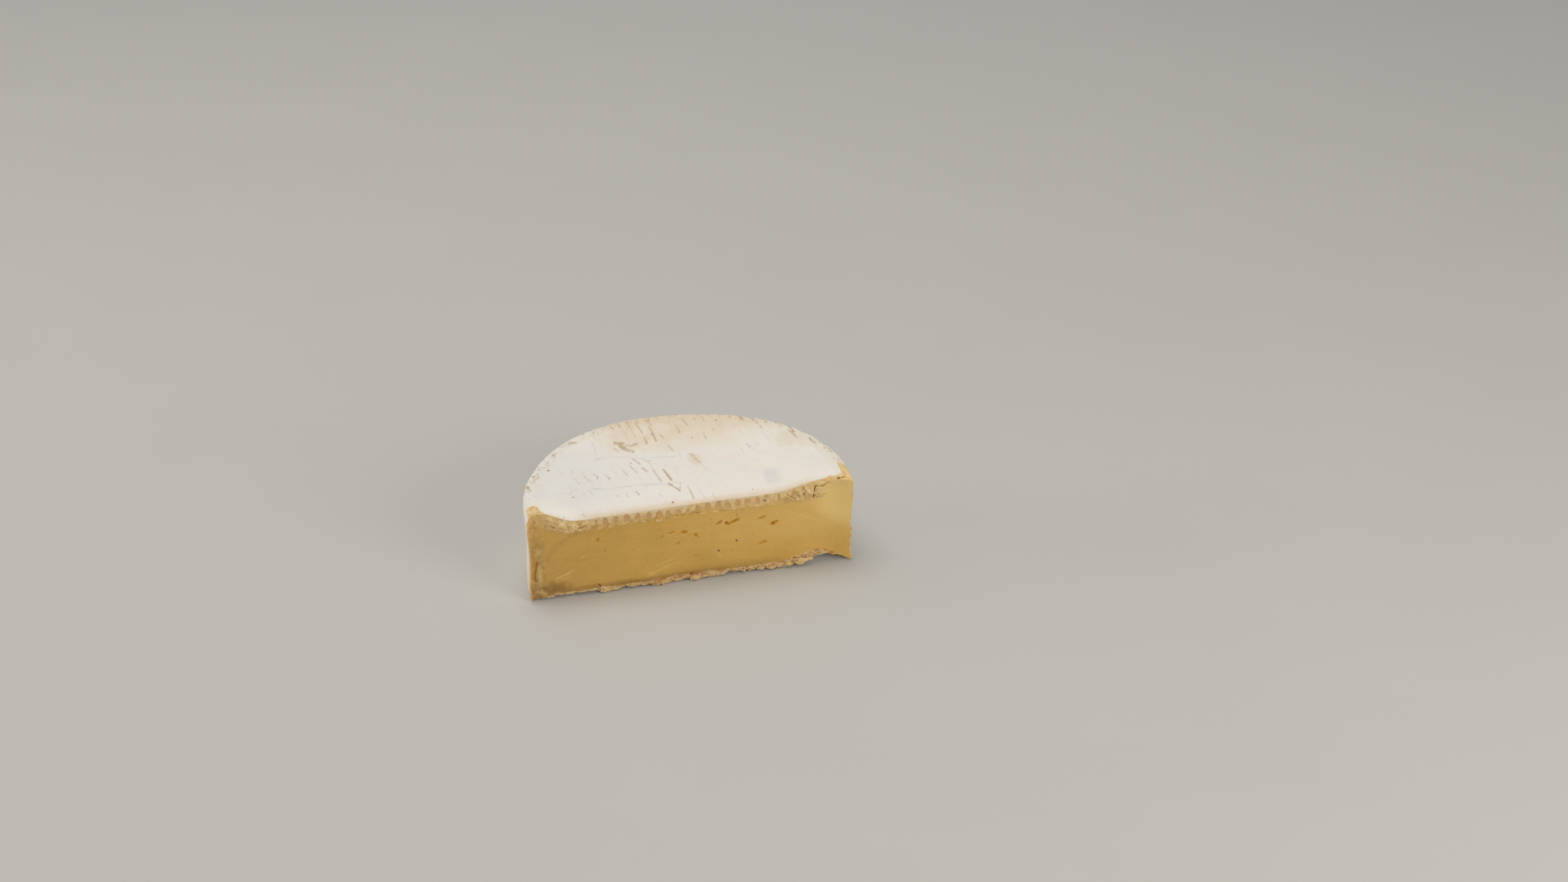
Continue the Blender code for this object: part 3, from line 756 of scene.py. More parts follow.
def cut_relief(x, z, edge):
    """How far the cut face stands forward of its plane, and the masks for its colours."""
    below = edge - WHITE_LIP - z
    forward = broad_relief(x, z)

    # The torn rind along the top: cream ribs between tan arches, and crumbly at both ends
    reach = np.interp(x, BAND_PLACES, BAND_REACHES)
    ragged = 0.7 * layered(x, z, 2.6, 83)
    over = below - reach + ragged
    band = smooth(0.35, -0.35, over) * smooth(-1.0, 0.4, below)
    calm = most(smooth(*BAND_FADE_LEFT, x + ragged), smooth(*BAND_FADE_RIGHT, x + ragged))
    crumbly = most(smooth(*CRUMBLY_LEFT, x), smooth(*CRUMBLY_RIGHT, x)) * (1.0 - calm)
    arch, rim = arch_marks(x, z)
    lumps, folds = torn_relief(x, z, 21)
    small_lumps, small_folds = torn_relief(1.7 * x, 1.6 * z, 25)
    at_left = smooth(0.0, -20.0, x)
    lumps = lumps + at_left * (small_lumps - lumps)
    folds = folds + at_left * (small_folds - folds)
    ramp = smooth(0.0, 1.6, below) * band * (1.0 - 0.85 * calm)
    rough = 0.3 + (0.45 + 0.25 * at_left) * crumbly
    forward = forward + ramp * (BAND_PROUD * (0.5 + crumbly) + rough * lumps * (1.0 - 0.8 * arch))
    forward = forward - ramp * 0.3 * folds * crumbly * (1.0 - arch)
    forward = forward - band * arch * (ARCH_DEPTH + 0.06 * flat_noise(x, 0.2 * z, 0.4, 86))

    # The crumbly rind along the foot, rougher at the right where it has come away
    foot_reach = np.interp(x, FOOT_PLACES, FOOT_REACHES) + 0.35 * layered(x, z, 1.3, 94)
    foot = smooth(foot_reach + 0.25, foot_reach - 0.25, z)
    low = smooth(FOOT_BAND, FOOT_BAND * 0.4, z)
    slow = noise(x, 0.0 * x, z, 2.3, 31) + 0.6 * noise(x, 0.0 * x, z, 4.7, 32)
    foot_lumps, foot_folds = torn_relief(1.3 * x, 1.6 * z, 35)
    layers = strata(x, z, 87)
    forward = forward + low * FOOT_LUMP * (0.25 + 0.5 * slow)
    forward = forward + foot * (0.5 * foot_lumps + 0.6 * layers - 0.3 - 0.3 * foot_folds)

    # Flakes, cracks, eyes and knife strokes
    dents, eye, eye_shade = eye_dents(x, z)
    stroke, stroke_pale = knife_marks(x, z)
    cracks = crack_depth(x, z)
    flakes = flake_relief(x, z)
    forward = forward + flakes - cracks - dents + stroke
    column = smooth(*LEFT_COLUMN, x + 0.9 * flat_noise(x, z, 3.0, 95)) * (1.0 - band)
    forward = forward + column * 0.14 * layered(x, z, 1.5, 96)

    # Paler in the knife's strokes and in patches of the left column, with painted light towards the right
    # and upwards, strongest high on the flared right end
    painted_light_side = smooth(35.0, 49.0, x + 0.55 * (z - 16.0)) * smooth(10.5, 21.0, z + 0.25 * (x - 40.0))
    pale = most(
        stroke_pale,
        0.9 * painted_light_side,
        0.3 * smooth(-20.0, 50.0, x) * smooth(4.0, 16.0, z),
        0.4 * column * smooth(0.1, 0.8, layered(x, z, 1.8, 97)),
    )

    # Painted shade: darker along the foot, to the left, in the bowed hollow and in patches under the torn
    # rind
    under_band_patches = layered(x, z, 1.3, 103)
    lower_band = smooth(1.6, 2.4, below) * smooth(1.2, -0.2, over)
    deep = 0.86 * most(
        0.85 * smooth(6.0, 0.0, z) * smooth(36.0, 24.0, x),
        0.65 * smooth(-45.0, -48.5, x) * smooth(27.0, 20.0, z),
        0.25 * smooth(15.0, -45.0, x),
        0.3 * smooth(10.0, -50.0, x) * smooth(14.0, 3.0, z),
        0.45 * bow_shape(x, z),
    )
    deep = most(
        deep,
        smooth(-30.0, -42.0, x + 0.8 * z) * smooth(9.0, 3.5, z),
        0.8 * smooth(4.2, 2.2, z) * smooth(20.0, 6.0, x),
        0.5 * lower_band * smooth(0.1, 0.6, under_band_patches),
    )

    # Painted shade: dark in the folds, between the foot's layers, over the eyes, under the arches and in
    # cracks
    under = np.exp(-((over - 0.3) / 0.2) ** 2) * (1.0 - crumbly) * (1.0 - calm)
    crevice = most(
        most(0.5 * folds, 0.35 * smooth(-0.1, -0.4, lumps)) * band * crumbly,
        foot * most(0.45 * foot_folds, 0.9 * smooth(0.6, 0.2, layers)),
        0.85 * eye_shade * (1.0 - band),
        0.45 * under * smooth(0.0, 0.6, flat_noise(x, 0.0 * x, 3.5, 98)),
        1.1 * smooth(0.05, 0.3, cracks),
    )

    # Torn rind in the band, along the foot, down both ends, in patches and on the flakes
    outward = np.abs(x) + SIDE_WAIST * np.sin(np.pi * z / RIM_HEIGHT) ** 3
    side = smooth(51.5, 52.0, outward + 0.2 * flat_noise(x, z, 2.0, 99)) * smooth(31.5, 29.0, z)
    side = side * (0.6 + 0.3 * smooth(0.0, 1.0, x))
    lower = below + 0.5 * layered(x, z, 1.6, 101) + 1.1 * arch + 3.0 * calm + 0.5 * crumbly
    white_edge = 0.58 * smooth(1.5, -0.2, lower)
    soft_band = crumbly * smooth(0.8, -0.9, over) + 0.9 * (1.0 - crumbly) * smooth(0.6, -1.6, over)
    soft_band = soft_band * smooth(-1.0, 0.4, below) * (1.0 - 0.6 * lower_band * smooth(0.0, 0.5, under_band_patches))
    mottled = column * smooth(-0.3, 0.6, layered(x, z, 1.6, 102))
    soft_band = soft_band * (1.0 - 0.15 * smooth(28.0, 36.0, x))
    flaked = 0.65 * smooth(0.03, 0.12, flakes) * smooth(34.0, 28.0, x)
    torn = most(soft_band, 0.9 * foot, 0.95 * side, 0.35 * mottled, flaked)
    masks = all_masks(
        x,
        white=most(white_edge, 0.7 * side * smooth(21.0, 28.0, z)),
        torn=torn * (1.0 - 0.5 * calm * band),
        # Along the foot the tan is partly the crust's own colour and partly painted shade
        arch=most(arch, 0.8 * column, 0.5 * foot * (1.0 - 0.5 * layers)),
        rim=rim * band,
        eye=eye * (1.0 - band),
        pale=pale,
        deep=deep,
        crevice=crevice * (1.0 - white_edge),
        warm=most(0.6 + 0.5 * smooth(-38.0, -30.0, x), side),
    )
    return forward, masks


def top_masks(x, y, rim_distance):
    """Masks for the colours of the top face, and the depth of its grooves, streaks and creases."""
    rag = layered(x, y, 2.6, 111)
    bare_from = np.interp(y, BARE_CORNER_BACK, BARE_CORNER_ACROSS)
    bare = smooth(0.3, -0.3, x - bare_from + 0.4 * rag) * smooth(-52.2, -51.2, x + 0.4 * rag)
    right_end = smooth(1.0, 0.1, rim_distance + 0.5 * rag + 0.06 * y)
    bare = 0.94 * most(bare, right_end * smooth(30.0, 40.0, x))
    white_from = np.interp(x, WHITE_START_ACROSS, WHITE_START_BACK)
    bare = most(bare, smooth(0.3, -0.3, y - white_from + 0.3 * rag) * smooth(40.0, 42.0, x))
    frayed = smooth(1.3, -0.3, y + 0.6 * layered(x, y, 1.6, 116)) * smooth(-46.0, -44.0, x)
    back = smooth(25.0, 40.0, y) * smooth(-30.0, -14.0, x) * smooth(44.0, 16.0, x)
    warm = 0.95 * back * (0.75 + 0.4 * layered(x, y, 5.0, 112)) + 0.12 * smooth(-20.0, 5.0, x)
    middle = smooth(-38.0, -31.0, x) * smooth(42.0, 33.0, x)
    warm = warm + 0.9 * middle * smooth(2.2, -0.5, y + 0.3 * rag) + 0.25 * smooth(4.0, 1.5, rim_distance)
    warm = warm + 0.2 * smooth(5.0, 1.0, y) * smooth(-40.0, -34.0, x) * smooth(0.0, -10.0, x)
    for across, near, reach_across, reach_back, amount in WARM_PATCHES:
        patch = np.hypot((x - across) / reach_across, (y - near) / reach_back) + 0.3 * rag
        warm = np.maximum(warm, amount * smooth(1.2, 0.4, patch))
    # Painted shade: cooler over the left of the top and grey in the creases; the squarish smudge is a
    # grey mark of the rind
    cool = 0.7 * smooth(-6.0, -36.0, x) * smooth(2.0, 8.0, y) * smooth(42.0, 30.0, y)
    dent = 0.0 * x
    for crease in CREASES:
        line = np.exp(-(path_distance(x, y, crease) / CREASE_HALF_WIDTH) ** 2)
        dent = np.maximum(dent, line * (0.7 + 0.3 * flat_noise(x, y, 4.0, 114)))
    across, near, reach_across, reach_back = SMUDGE
    square = np.abs((x - across) / reach_across) ** 3.0 + np.abs((y - near) / reach_back) ** 3.0
    smudge = smooth(1.3, 0.6, square ** (1.0 / 3.0) + 0.15 * rag)
    cool = most(cool, 1.4 * dent, 1.04 * smudge)
    rust = 0.0 * x
    for across, near, radius in SPOTS:
        rust = np.maximum(rust, smooth(1.2, 0.5, np.hypot(x - across, y - near) / radius))
    groove, phase = mat_dents(x, y)
    faint = smooth(0.1, 0.8, layered(phase * 2.0, y * 0.4, 2.0, 118)) * groove ** 3
    at_rim = smooth(1.6, 0.5, rim_distance + 0.5 * rag) * smooth(0.4, 0.9, groove) * smooth(4.0, 10.0, y)
    at_edge = smooth(1.2, 0.2, rim_distance) * smooth(4.0, 9.0, y)
    streak = most(
        strokes(x, y, MAT_STREAKS, 15),
        strokes(x, y, WORN_STREAKS, 17),
        0.22 * faint * smooth(4.0, 12.0, y) * smooth(-44.0, -36.0, x),
        0.85 * at_rim * smooth(0.0, 0.5, layered(phase * 2.6, y, 2.4, 119)),
        0.45 * at_edge * smooth(0.1, 0.6, layered(x, y, 1.3, 120)),
    )
    depth = MAT_GROOVE_DEPTH * groove * (0.6 + 0.4 * rag) * smooth(1.0, 7.0, y)
    depth = depth + STREAK_DEPTH * streak + CREASE_DEPTH * dent
    masks = all_masks(
        x,
        white=1.0 - np.maximum(0.78 * bare, 0.4 * frayed),
        torn=np.maximum(bare, frayed),
        rust=rust,
        cool=cool * (1.0 - bare),
        warm=warm,
        streak=streak,
    )
    return masks, depth


def wall_masks(around, height):
    """Masks for the colours of the side wall, by the way round and the height."""
    mottle = layered(around, height * 1.3, 7.0, 121, 4)
    dashes = smooth(0.35, 0.75, layered(around * 0.45, height * 1.6, 2.6, 125, 4))
    right_end = np.pi * RADIUS
    beside = smooth(BARE_SIDE_LEFT, 0.0, around) + smooth(right_end - BARE_SIDE_RIGHT, right_end, around)
    bare = np.maximum(0.5 * smooth(0.55, 0.85, mottle), (0.75 + 0.25 * mottle) * beside)
    return all_masks(
        bare,
        white=1.0 - bare,
        torn=bare,
        cool=0.4 * smooth(0.2, -0.5, mottle),
        warm=np.clip(0.45 + 0.6 * mottle + 0.7 * smooth(14.0, 2.0, around), 0.0, 1.2),
        streak=0.35 * dashes,
    )


def draw_tip(points, corner, direction):
    """Pull the surface near a corner out to a small point."""
    distance = np.linalg.norm(points - corner, axis=-1)
    pull = TIP_REACH * np.clip(1.0 - distance / TIP_SIZE, 0.0, 1.0) ** 2
    return points + pull[..., None] * np.array(direction)


def stacked(x, y, z):
    """One array of points from three arrays that may differ in shape."""
    return np.stack(np.broadcast_arrays(x, y, z), axis=-1)


def loop_points():
    """The surface as one closed loop of points for each column across the cut, with its masks."""
    angle = np.linspace(0.0, np.pi, COLUMNS + 1)[:, None]
    plan_x = -np.cos(angle)
    plan_y = np.sin(angle)
    inset, height = side_profile(SIDE_ROWS)
    full = plan_radius(angle)
    reach = full - inset[None, :]

    # The cut face, from its foot up to the white edge of the rind
    end = np.where(plan_x < 0.0, plan_radius(0.0), plan_radius(np.pi))
    x = plan_x * (end - inset[None, :]) - plan_x * SIDE_WAIST * np.sin(np.pi * height / RIM_HEIGHT) ** 3
    edge = RIM_HEIGHT - dish(x, 0.0 * x) - EDGE_LEAN - EDGE_DROP
    z = height[None, :] / RIM_HEIGHT * edge
    z = z + smooth(FOOT_FOLLOW, 0.0, z) * foot_lift(x, 0.0 * x)
    flow = smooth(0.0, 2.0, z) * smooth(0.0, 0.6, edge - z)
    relief, cut_masks = cut_relief(x, z, edge)
    y = -relief * (0.35 + 0.65 * np.maximum(flow, smooth(1.5, 0.0, z)))
    cut = stacked(x, y, z)

    # The top face, from the cut edge over the roll and the dish to the shoulder
    v = np.linspace(0.0, 1.0, TOP_ROWS + 1)[None, 1:-1] ** TOP_CROWDING
    x = cut[:, -1:, 0] * (1.0 - v) + plan_x * (full - SHOULDER) * v
    y = plan_y * (full - SHOULDER) * v
    rim_distance = plan_y * (full - SHOULDER) - y
    rim_distance = np.minimum(rim_distance, np.maximum(full - SHOULDER - np.hypot(x, y), 0.0))
    z = RIM_HEIGHT - dish(x, y) - roll_drop(y)
    inner = smooth(0.0, 3.0, y) * smooth(0.0, 2.5, rim_distance)
    top_colours, marks = top_masks(x, y, rim_distance)
    z = z - marks * inner - rim_dents(x, y) * smooth(3.0, 0.5, rim_distance)
    z = z + (TOP_SWELL * flat_noise(x, y, 9.0, 51) + TOP_ROUGHNESS * layered(x, y, 1.8, 52)) * inner
    y = y + cut[:, -1:, 1] * smooth(CUT_FOLLOW, 0.0, y)
    top = stacked(x, y, z)

    # The side wall, from the shoulder down to the foot
    x = plan_x * reach[:, ::-1]
    y = plan_y * reach[:, ::-1]
    z = np.repeat(height[None, ::-1], COLUMNS + 1, axis=0)
    level = z / RIM_HEIGHT
    around = angle * RADIUS + 0.0 * z
    waist = SIDE_WAIST * np.sin(np.pi * level) ** 2
    wander = OUTLINE_WANDER * noise(x, y, 0.3 * z, 15.0, 61) * smooth(0.0, 6.0, y)
    fine = SIDE_ROUGHNESS * layered(around, z * 1.5, 2.6, 63, 4) * smooth(0.5, 5.0, y)
    fine = fine * smooth(0.0, 2.0, z)
    scale = 1.0 + fine / RADIUS - (waist - wander) / RADIUS * np.sin(np.pi * level)
    side_colours = wall_masks(around, z)
    shoulder_colours = top_masks(x, y, 0.0 * x)[0]
    over_shoulder = smooth(25.5, 29.0, z + 0.8 * layered(around, z, 2.5, 64))
    for name, lower in side_colours.items():
        side_colours[name] = lower + over_shoulder * (shoulder_colours[name] - lower)
    z = z - level * (dish(x, y) + roll_drop(y)) - rim_dents(x, y) * smooth(26.0, 30.0, z)
    z = z + smooth(FOOT_FOLLOW, 0.0, z) * foot_lift(x, y)
    x = x * scale
    near = smooth(CUT_FOLLOW, 0.0, y)
    y = y * scale + near * (cut[:, ::-1, 1] * smooth(0.0, 1.0, np.abs(plan_x) ** 8))
    wall = stacked(x, y, z)

    # The base, from the foot of the wall forward to the foot of the cut
    v = np.linspace(1.0, 0.0, BASE_ROWS + 1)[None, 1:-1] ** BASE_CROWDING
    x = cut[:, :1, 0] * (1.0 - v) + plan_x * (full - FOOT_ROUND) * v
    y = plan_y * (full - FOOT_ROUND) * v
    base_colours = wall_masks(x + BASE_MARKS_SHIFT, 0.3 * y)
    grooves = smooth(0.2, 0.95, np.cos(2.0 * np.pi * (x - MAT_PHASE) / MAT_PITCH))
    inner = smooth(0.0, 3.0, y) * smooth(0.0, 3.0, plan_y * (full - FOOT_ROUND) - y)
    z = foot_lift(x, y) + BASE_GROOVE_DEPTH * grooves * inner
    y = y + cut[:, :1, 1] * smooth(CUT_FOLLOW, 0.0, y)
    base = stacked(x, y, z)

    masks = {}
    for name in MASK_NAMES:
        parts = (cut_masks[name], top_colours[name], side_colours[name], base_colours[name])
        masks[name] = np.concatenate(parts, axis=1)
    return np.concatenate((cut, top, wall, base), axis=1), masks


def draw_tips(loops):
    """Pull out the three corners that the knife drew out, and make the right end ragged."""
    left, right = plan_radius(0.0), plan_radius(np.pi)
    for corner, direction in (
        ((-left, -LEFT_FLARE, 0.0), (0.1, -1.0, 0.0)),
        ((right, -RIGHT_FLARE_FOOT, 0.0), (0.8, -0.5, 0.0)),
        ((right, -RIGHT_FLARE_TOP, RIM_HEIGHT - EDGE_LEAN - EDGE_DROP), (0.8, -0.3, 0.5)),
    ):
        loops = draw_tip(loops, np.array(corner), direction)
    height = loops[..., 2]
    notches = 0.22 * noise(0.0 * height, 0.0 * height, height, 2.6, 65)
    notches = notches + 0.14 * noise(0.0 * height, 0.0 * height, height, 0.9, 66) - 0.12
    near = smooth(50.5, 52.8, loops[..., 0]) * smooth(2.5, 0.3, np.abs(loops[..., 1] + 1.0))
    loops[..., 0] = loops[..., 0] + notches * near * smooth(0.0, 2.0, height)
    loops[..., 2] = np.maximum(height, 0.0)
    return loops


def surface_faces(columns, count):
    """Corner indices of the loops' quads, with both ends of the cut closed."""
    index = np.arange(columns * count).reshape(columns, count)
    wall_start = SIDE_ROWS + TOP_ROWS
    base_start = wall_start + SIDE_ROWS + 1
    for column in (0, -1):
        index[column, SIDE_ROWS + 1:wall_start] = index[column, SIDE_ROWS]
        index[column, wall_start:base_start] = index[column, SIDE_ROWS::-1]
        index[column, base_start:] = index[column, 0]
    after = np.roll(index, -1, axis=1)
    corners = np.stack([index[:-1], index[1:], after[1:], after[:-1]], axis=-1).reshape(-1, 4)
    plain = np.all(corners != np.roll(corners, 1, axis=1), axis=1)
    faces = corners[plain].tolist()
    for face in corners[~plain].tolist():
        ring = [corner for place, corner in enumerate(face) if corner != face[place - 1]]
        if len(ring) > 2:
            faces.append(ring)
    return faces


def add_object(name, mesh, *materials):
    """Link a mesh as a new object with its materials."""
    made = bpy.data.objects.new(name, mesh)
    bpy.context.scene.collection.objects.link(made)
    for material in materials:
        mesh.materials.append(material)
    return made


def inside_box(points):
    """Points kept within the solid's box."""
    return np.clip(points, cad_low - shift + BOX_MARGIN, cad_high - shift - BOX_MARGIN)


def make_mesh(name, points, faces, masks=None, rounded=True):
    """A mesh in metres from points in millimetres, with masks as named attributes."""
    mesh = bpy.data.meshes.new(name)
    mesh.from_pydata(((points + shift) * MM).tolist(), [], faces)
    for mask_name, values in (masks or {}).items():
        attribute = mesh.attributes.new(mask_name, "FLOAT", "POINT")
        attribute.data.foreach_set("value", np.clip(values, 0.0, 1.5).astype(np.float32).ravel())
    work = bmesh.new()
    work.from_mesh(mesh)
    loose = [vertex for vertex in work.verts if not vertex.link_faces]
    bmesh.ops.delete(work, geom=loose, context="VERTS")
    work.to_mesh(mesh)
    work.free()
    if rounded:
        mesh.shade_smooth()
    return mesh


# Materials


def linear(red, green, blue):
    """A colour for a shader from its ordinary screen values, 0 to 255."""
    values = np.array((red, green, blue)) / 255.0
    low = values / 12.92
    high = ((values + 0.055) / 1.055) ** 2.4
    return (*np.where(values <= 0.04045, low, high).tolist(), 1.0)


class Nodes:
    """Short calls for building a material's nodes."""

    def __init__(self, name):
        self.material = bpy.data.materials.new(name)
        self.material.use_nodes = True
        self.tree = self.material.node_tree
        self.shader = self.tree.nodes["Principled BSDF"]

    def join(self, source, target):
        self.tree.links.new(source, target)

    def put(self, value, socket):
        """Link a socket, or set a plain value."""
        if isinstance(value, bpy.types.NodeSocket):
            self.join(value, socket)
        else:
            socket.default_value = value

    def mask(self, name):
        node = self.tree.nodes.new("ShaderNodeAttribute")
        node.attribute_name = name
        return node.outputs["Fac"]

    def place(self):
        return self.tree.nodes.new("ShaderNodeTexCoord").outputs["Object"]

    def noise(self, size, detail=4.0, roughness=0.55, stretch=1.0):
        """Fractal noise whose lumps are about size millimetres across, and longer across the cut."""
        node = self.tree.nodes.new("ShaderNodeTexNoise")
        node.inputs["Scale"].default_value = 1.0 / (size * MM)
        node.inputs["Detail"].default_value = detail
        node.inputs["Roughness"].default_value = roughness
        turn = self.tree.nodes.new("ShaderNodeMapping")
        turn.inputs["Rotation"].default_value = (0.0, 0.12, 0.0)
        turn.inputs["Scale"].default_value = (1.0 / stretch, 1.0, 1.0)
        self.join(self.place(), turn.inputs["Vector"])
        self.join(turn.outputs["Vector"], node.inputs["Vector"])
        return node.outputs["Fac"]

    def maths(self, operation, first, second=0.0, clamp=False):
        node = self.tree.nodes.new("ShaderNodeMath")
        node.operation = operation
        node.use_clamp = clamp
        self.put(first, node.inputs[0])
        self.put(second, node.inputs[1])
        return node.outputs[0]

    def spread(self, value, low, high, to_low=0.0, to_high=1.0):
        """Map the range low to high onto another range, with clamped ends."""
        node = self.tree.nodes.new("ShaderNodeMapRange")
        self.put(value, node.inputs["Value"])
        node.inputs["From Min"].default_value = low
        node.inputs["From Max"].default_value = high
        node.inputs["To Min"].default_value = to_low
        node.inputs["To Max"].default_value = to_high
        return node.outputs["Result"]

    def mix(self, factor, first, second):
        """Blend two colours."""
        node = self.tree.nodes.new("ShaderNodeMix")
        node.data_type = "RGBA"
        self.put(factor, node.inputs["Factor"])
        self.put(first, node.inputs["A"])
        self.put(second, node.inputs["B"])
        return node.outputs["Result"]

    def bumped(self, height, distance):
        """Fine relief from a height, with a full swing of distance millimetres."""
        node = self.tree.nodes.new("ShaderNodeBump")
        node.inputs["Distance"].default_value = distance * MM
        self.join(height, node.inputs["Height"])
        self.join(node.outputs["Normal"], self.shader.inputs["Normal"])

    def finish(self, colour, roughness):
        """The base colour and the roughness."""
        self.put(colour, self.shader.inputs["Base Color"])
        self.put(roughness, self.shader.inputs["Roughness"])

    def soften(self, weight, scale, radius=(1.0, 0.7, 0.35)):
        """Light that passes into the cheese and out again."""
        self.shader.inputs["Subsurface Weight"].default_value = weight
        self.shader.inputs["Subsurface Scale"].default_value = scale * MM
        self.shader.inputs["Subsurface Radius"].default_value = radius


WHITE_BLOOM = linear(240, 236, 228)
COOL_BLOOM = linear(229, 227, 222)
CREASE_SHADE_AND_SMUDGE_GREY = linear(196, 192, 186)
WARM_BLOOM = linear(230, 213, 188)
TAN_STREAK = linear(186, 160, 124)
RUST = linear(186, 122, 56)
RIB_CREAM = linear(235, 208, 156)
TORN_TAN = linear(220, 183, 120)
ARCH_TAN = linear(208, 166, 116)
ARCH_RIM = linear(164, 120, 74)
PASTE = linear(222, 178, 87)
PASTE_DULL_AND_SHADED = linear(161, 122, 58)
PASTE_PALE_AND_LIT = linear(241, 208, 132)
EYE = linear(208, 152, 0)
# Painted shade for the folds, cracks and other hollows of the cut
CREVICE_SHADE = linear(182, 118, 26)
FLOOR_PALE = linear(200, 198, 194)
FLOOR_DULL = linear(196, 194, 190)


def torn_colour(nodes):
    """Cream ribs and crumbs of the torn rind, with its tan arches and their darker rims."""
    cream = nodes.mix(nodes.spread(nodes.noise(1.4, 5.0), 0.38, 0.62), RIB_CREAM, TORN_TAN)
    arch = nodes.mix(nodes.spread(nodes.noise(0.6), 0.3, 0.7, 0.0, 0.35), ARCH_TAN, TORN_TAN)
    torn = nodes.mix(nodes.mask("arch"), cream, arch)
    return nodes.mix(nodes.maths("MULTIPLY", nodes.mask("rim"), 0.5), torn, ARCH_RIM)


def paste_colour(nodes):
    """Pale yellow paste with random duller patches and smears, painted shade low down and at the left,
    painted light towards the right, and its darker eyes.
    """
    patchy = nodes.spread(nodes.noise(9.0, 3.0), 0.3, 0.7, 0.0, 0.15)
    # The deep mask is painted shade, added here to random duller patches
    deep = nodes.maths("ADD", patchy, nodes.mask("deep"), clamp=True)
    paste = nodes.mix(deep, PASTE, PASTE_DULL_AND_SHADED)
    grains = nodes.spread(nodes.noise(1.2, 5.0, 0.6), 0.45, 0.8, 0.0, 0.18)
    paste = nodes.mix(grains, paste, PASTE_PALE_AND_LIT)
    smears = nodes.spread(nodes.noise(2.2, 4.0, 0.6, 4.0), 0.4, 0.7, 0.0, 0.1)
    paste = nodes.mix(smears, paste, PASTE_DULL_AND_SHADED)
    # The pale mask is painted light towards the right, besides the knife's pale strokes and the column's
    # pale patches
    paste = nodes.mix(nodes.mask("pale"), paste, PASTE_PALE_AND_LIT)
    return nodes.mix(nodes.mask("eye"), paste, EYE)


def bloom_colour(nodes):
    """White bloom of the rind: warmer at the back, cooler at the left and greyer in its creases as
    painted shade, bare in the grooves.
    """
    bloom = nodes.mix(nodes.mask("warm"), WHITE_BLOOM, WARM_BLOOM)
    # Painted shade over the left of the top and in its creases, besides the cool mottles of the side and
    # the grey smudge
    bloom = nodes.mix(nodes.mask("cool"), bloom, COOL_BLOOM)
    bloom = nodes.mix(nodes.spread(nodes.mask("cool"), 1.0, 1.5), bloom, CREASE_SHADE_AND_SMUDGE_GREY)
    clouds = nodes.spread(nodes.noise(4.0, 6.0, 0.62), 0.45, 0.8, 0.0, 0.22)
    bloom = nodes.mix(clouds, bloom, WARM_BLOOM)
    grain = nodes.spread(nodes.noise(0.45, 3.0, 0.6), 0.3, 0.7, -0.18, 0.18)
    streak = nodes.spread(nodes.maths("ADD", nodes.mask("streak"), grain), 0.05, 0.9, 0.0, 0.92)
    streak = nodes.maths("MULTIPLY", streak, nodes.spread(nodes.mask("streak"), 0.0, 0.15))
    bloom = nodes.mix(streak, bloom, TAN_STREAK)
    return nodes.mix(nodes.mask("rust"), bloom, RUST)


def cheese_material():
    """White bloom, torn rind and paste, laid by the masks that the surface carries."""
    nodes = Nodes("bloomy_rind_and_paste")
    ragged = nodes.spread(nodes.noise(0.8, 4.0), 0.3, 0.7, -0.22, 0.22)
    white = nodes.spread(nodes.maths("ADD", nodes.mask("white"), ragged), 0.3, 0.75)
    colour = nodes.mix(nodes.mask("torn"), paste_colour(nodes), torn_colour(nodes))
    # Painted shade in folds, cracks, between the foot's layers, along the eyes' upper edges and under the
    # band
    colour = nodes.mix(nodes.maths("MULTIPLY", nodes.mask("crevice"), 0.8), colour, CREVICE_SHADE)
    colour = nodes.mix(white, colour, bloom_colour(nodes))
    rough = nodes.maths("MAXIMUM", nodes.spread(nodes.mask("torn"), 0.0, 1.0, 0.45, 0.65),
                        nodes.spread(white, 0.0, 1.0, 0.45, 0.9))
    nodes.finish(colour, rough)
    grain = nodes.maths("MAXIMUM", nodes.spread(white, 0.0, 1.0, 0.0, 0.6),
                        nodes.spread(nodes.mask("torn"), 0.0, 1.0, 0.15, 1.0))
    nodes.bumped(nodes.maths("MULTIPLY", nodes.noise(0.35, 6.0, 0.65), grain), 0.12)
    nodes.soften(0.25, 1.6)
    return nodes.material


def crumb_material():
    """Crumbs of the torn rind, from cream to tan."""
    nodes = Nodes("torn_rind_crumbs")
    tint = nodes.mask("tint")
    colour = nodes.mix(nodes.spread(nodes.noise(1.1, 5.0), 0.35, 0.65), RIB_CREAM, TORN_TAN)
    colour = nodes.mix(nodes.maths("MULTIPLY", tint, 0.6), colour, ARCH_TAN)
    nodes.finish(colour, 0.7)
    nodes.bumped(nodes.noise(0.3, 5.0, 0.65), 0.1)
    nodes.soften(0.2, 1.2)
    return nodes.material


def speck_material(name, dark, light):
    """Small dark specks in the paste."""
    nodes = Nodes(name)
    nodes.finish(nodes.mix(nodes.noise(0.2), dark, light), 0.5)
    nodes.bumped(nodes.noise(0.12), 0.03)
    return nodes.material


def floor_material():
    """Plain pale floor."""
    nodes = Nodes("pale_floor")
    nodes.finish(nodes.mix(nodes.noise(60.0, 3.0), FLOOR_PALE, FLOOR_DULL), 0.75)
    return nodes.material


# Pieces


def make_cheese(loops, masks):
    """The whole surface of the half wheel, in place of the plain solid."""
    faces = surface_faces(*loops.shape[:2])
    mesh = make_mesh("cheese_surface", loops.reshape(-1, 3), faces, masks)
    cheese = add_object("cheese_surface", mesh, cheese_material())
    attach(cheese, "root")
    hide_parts("half_wheel")


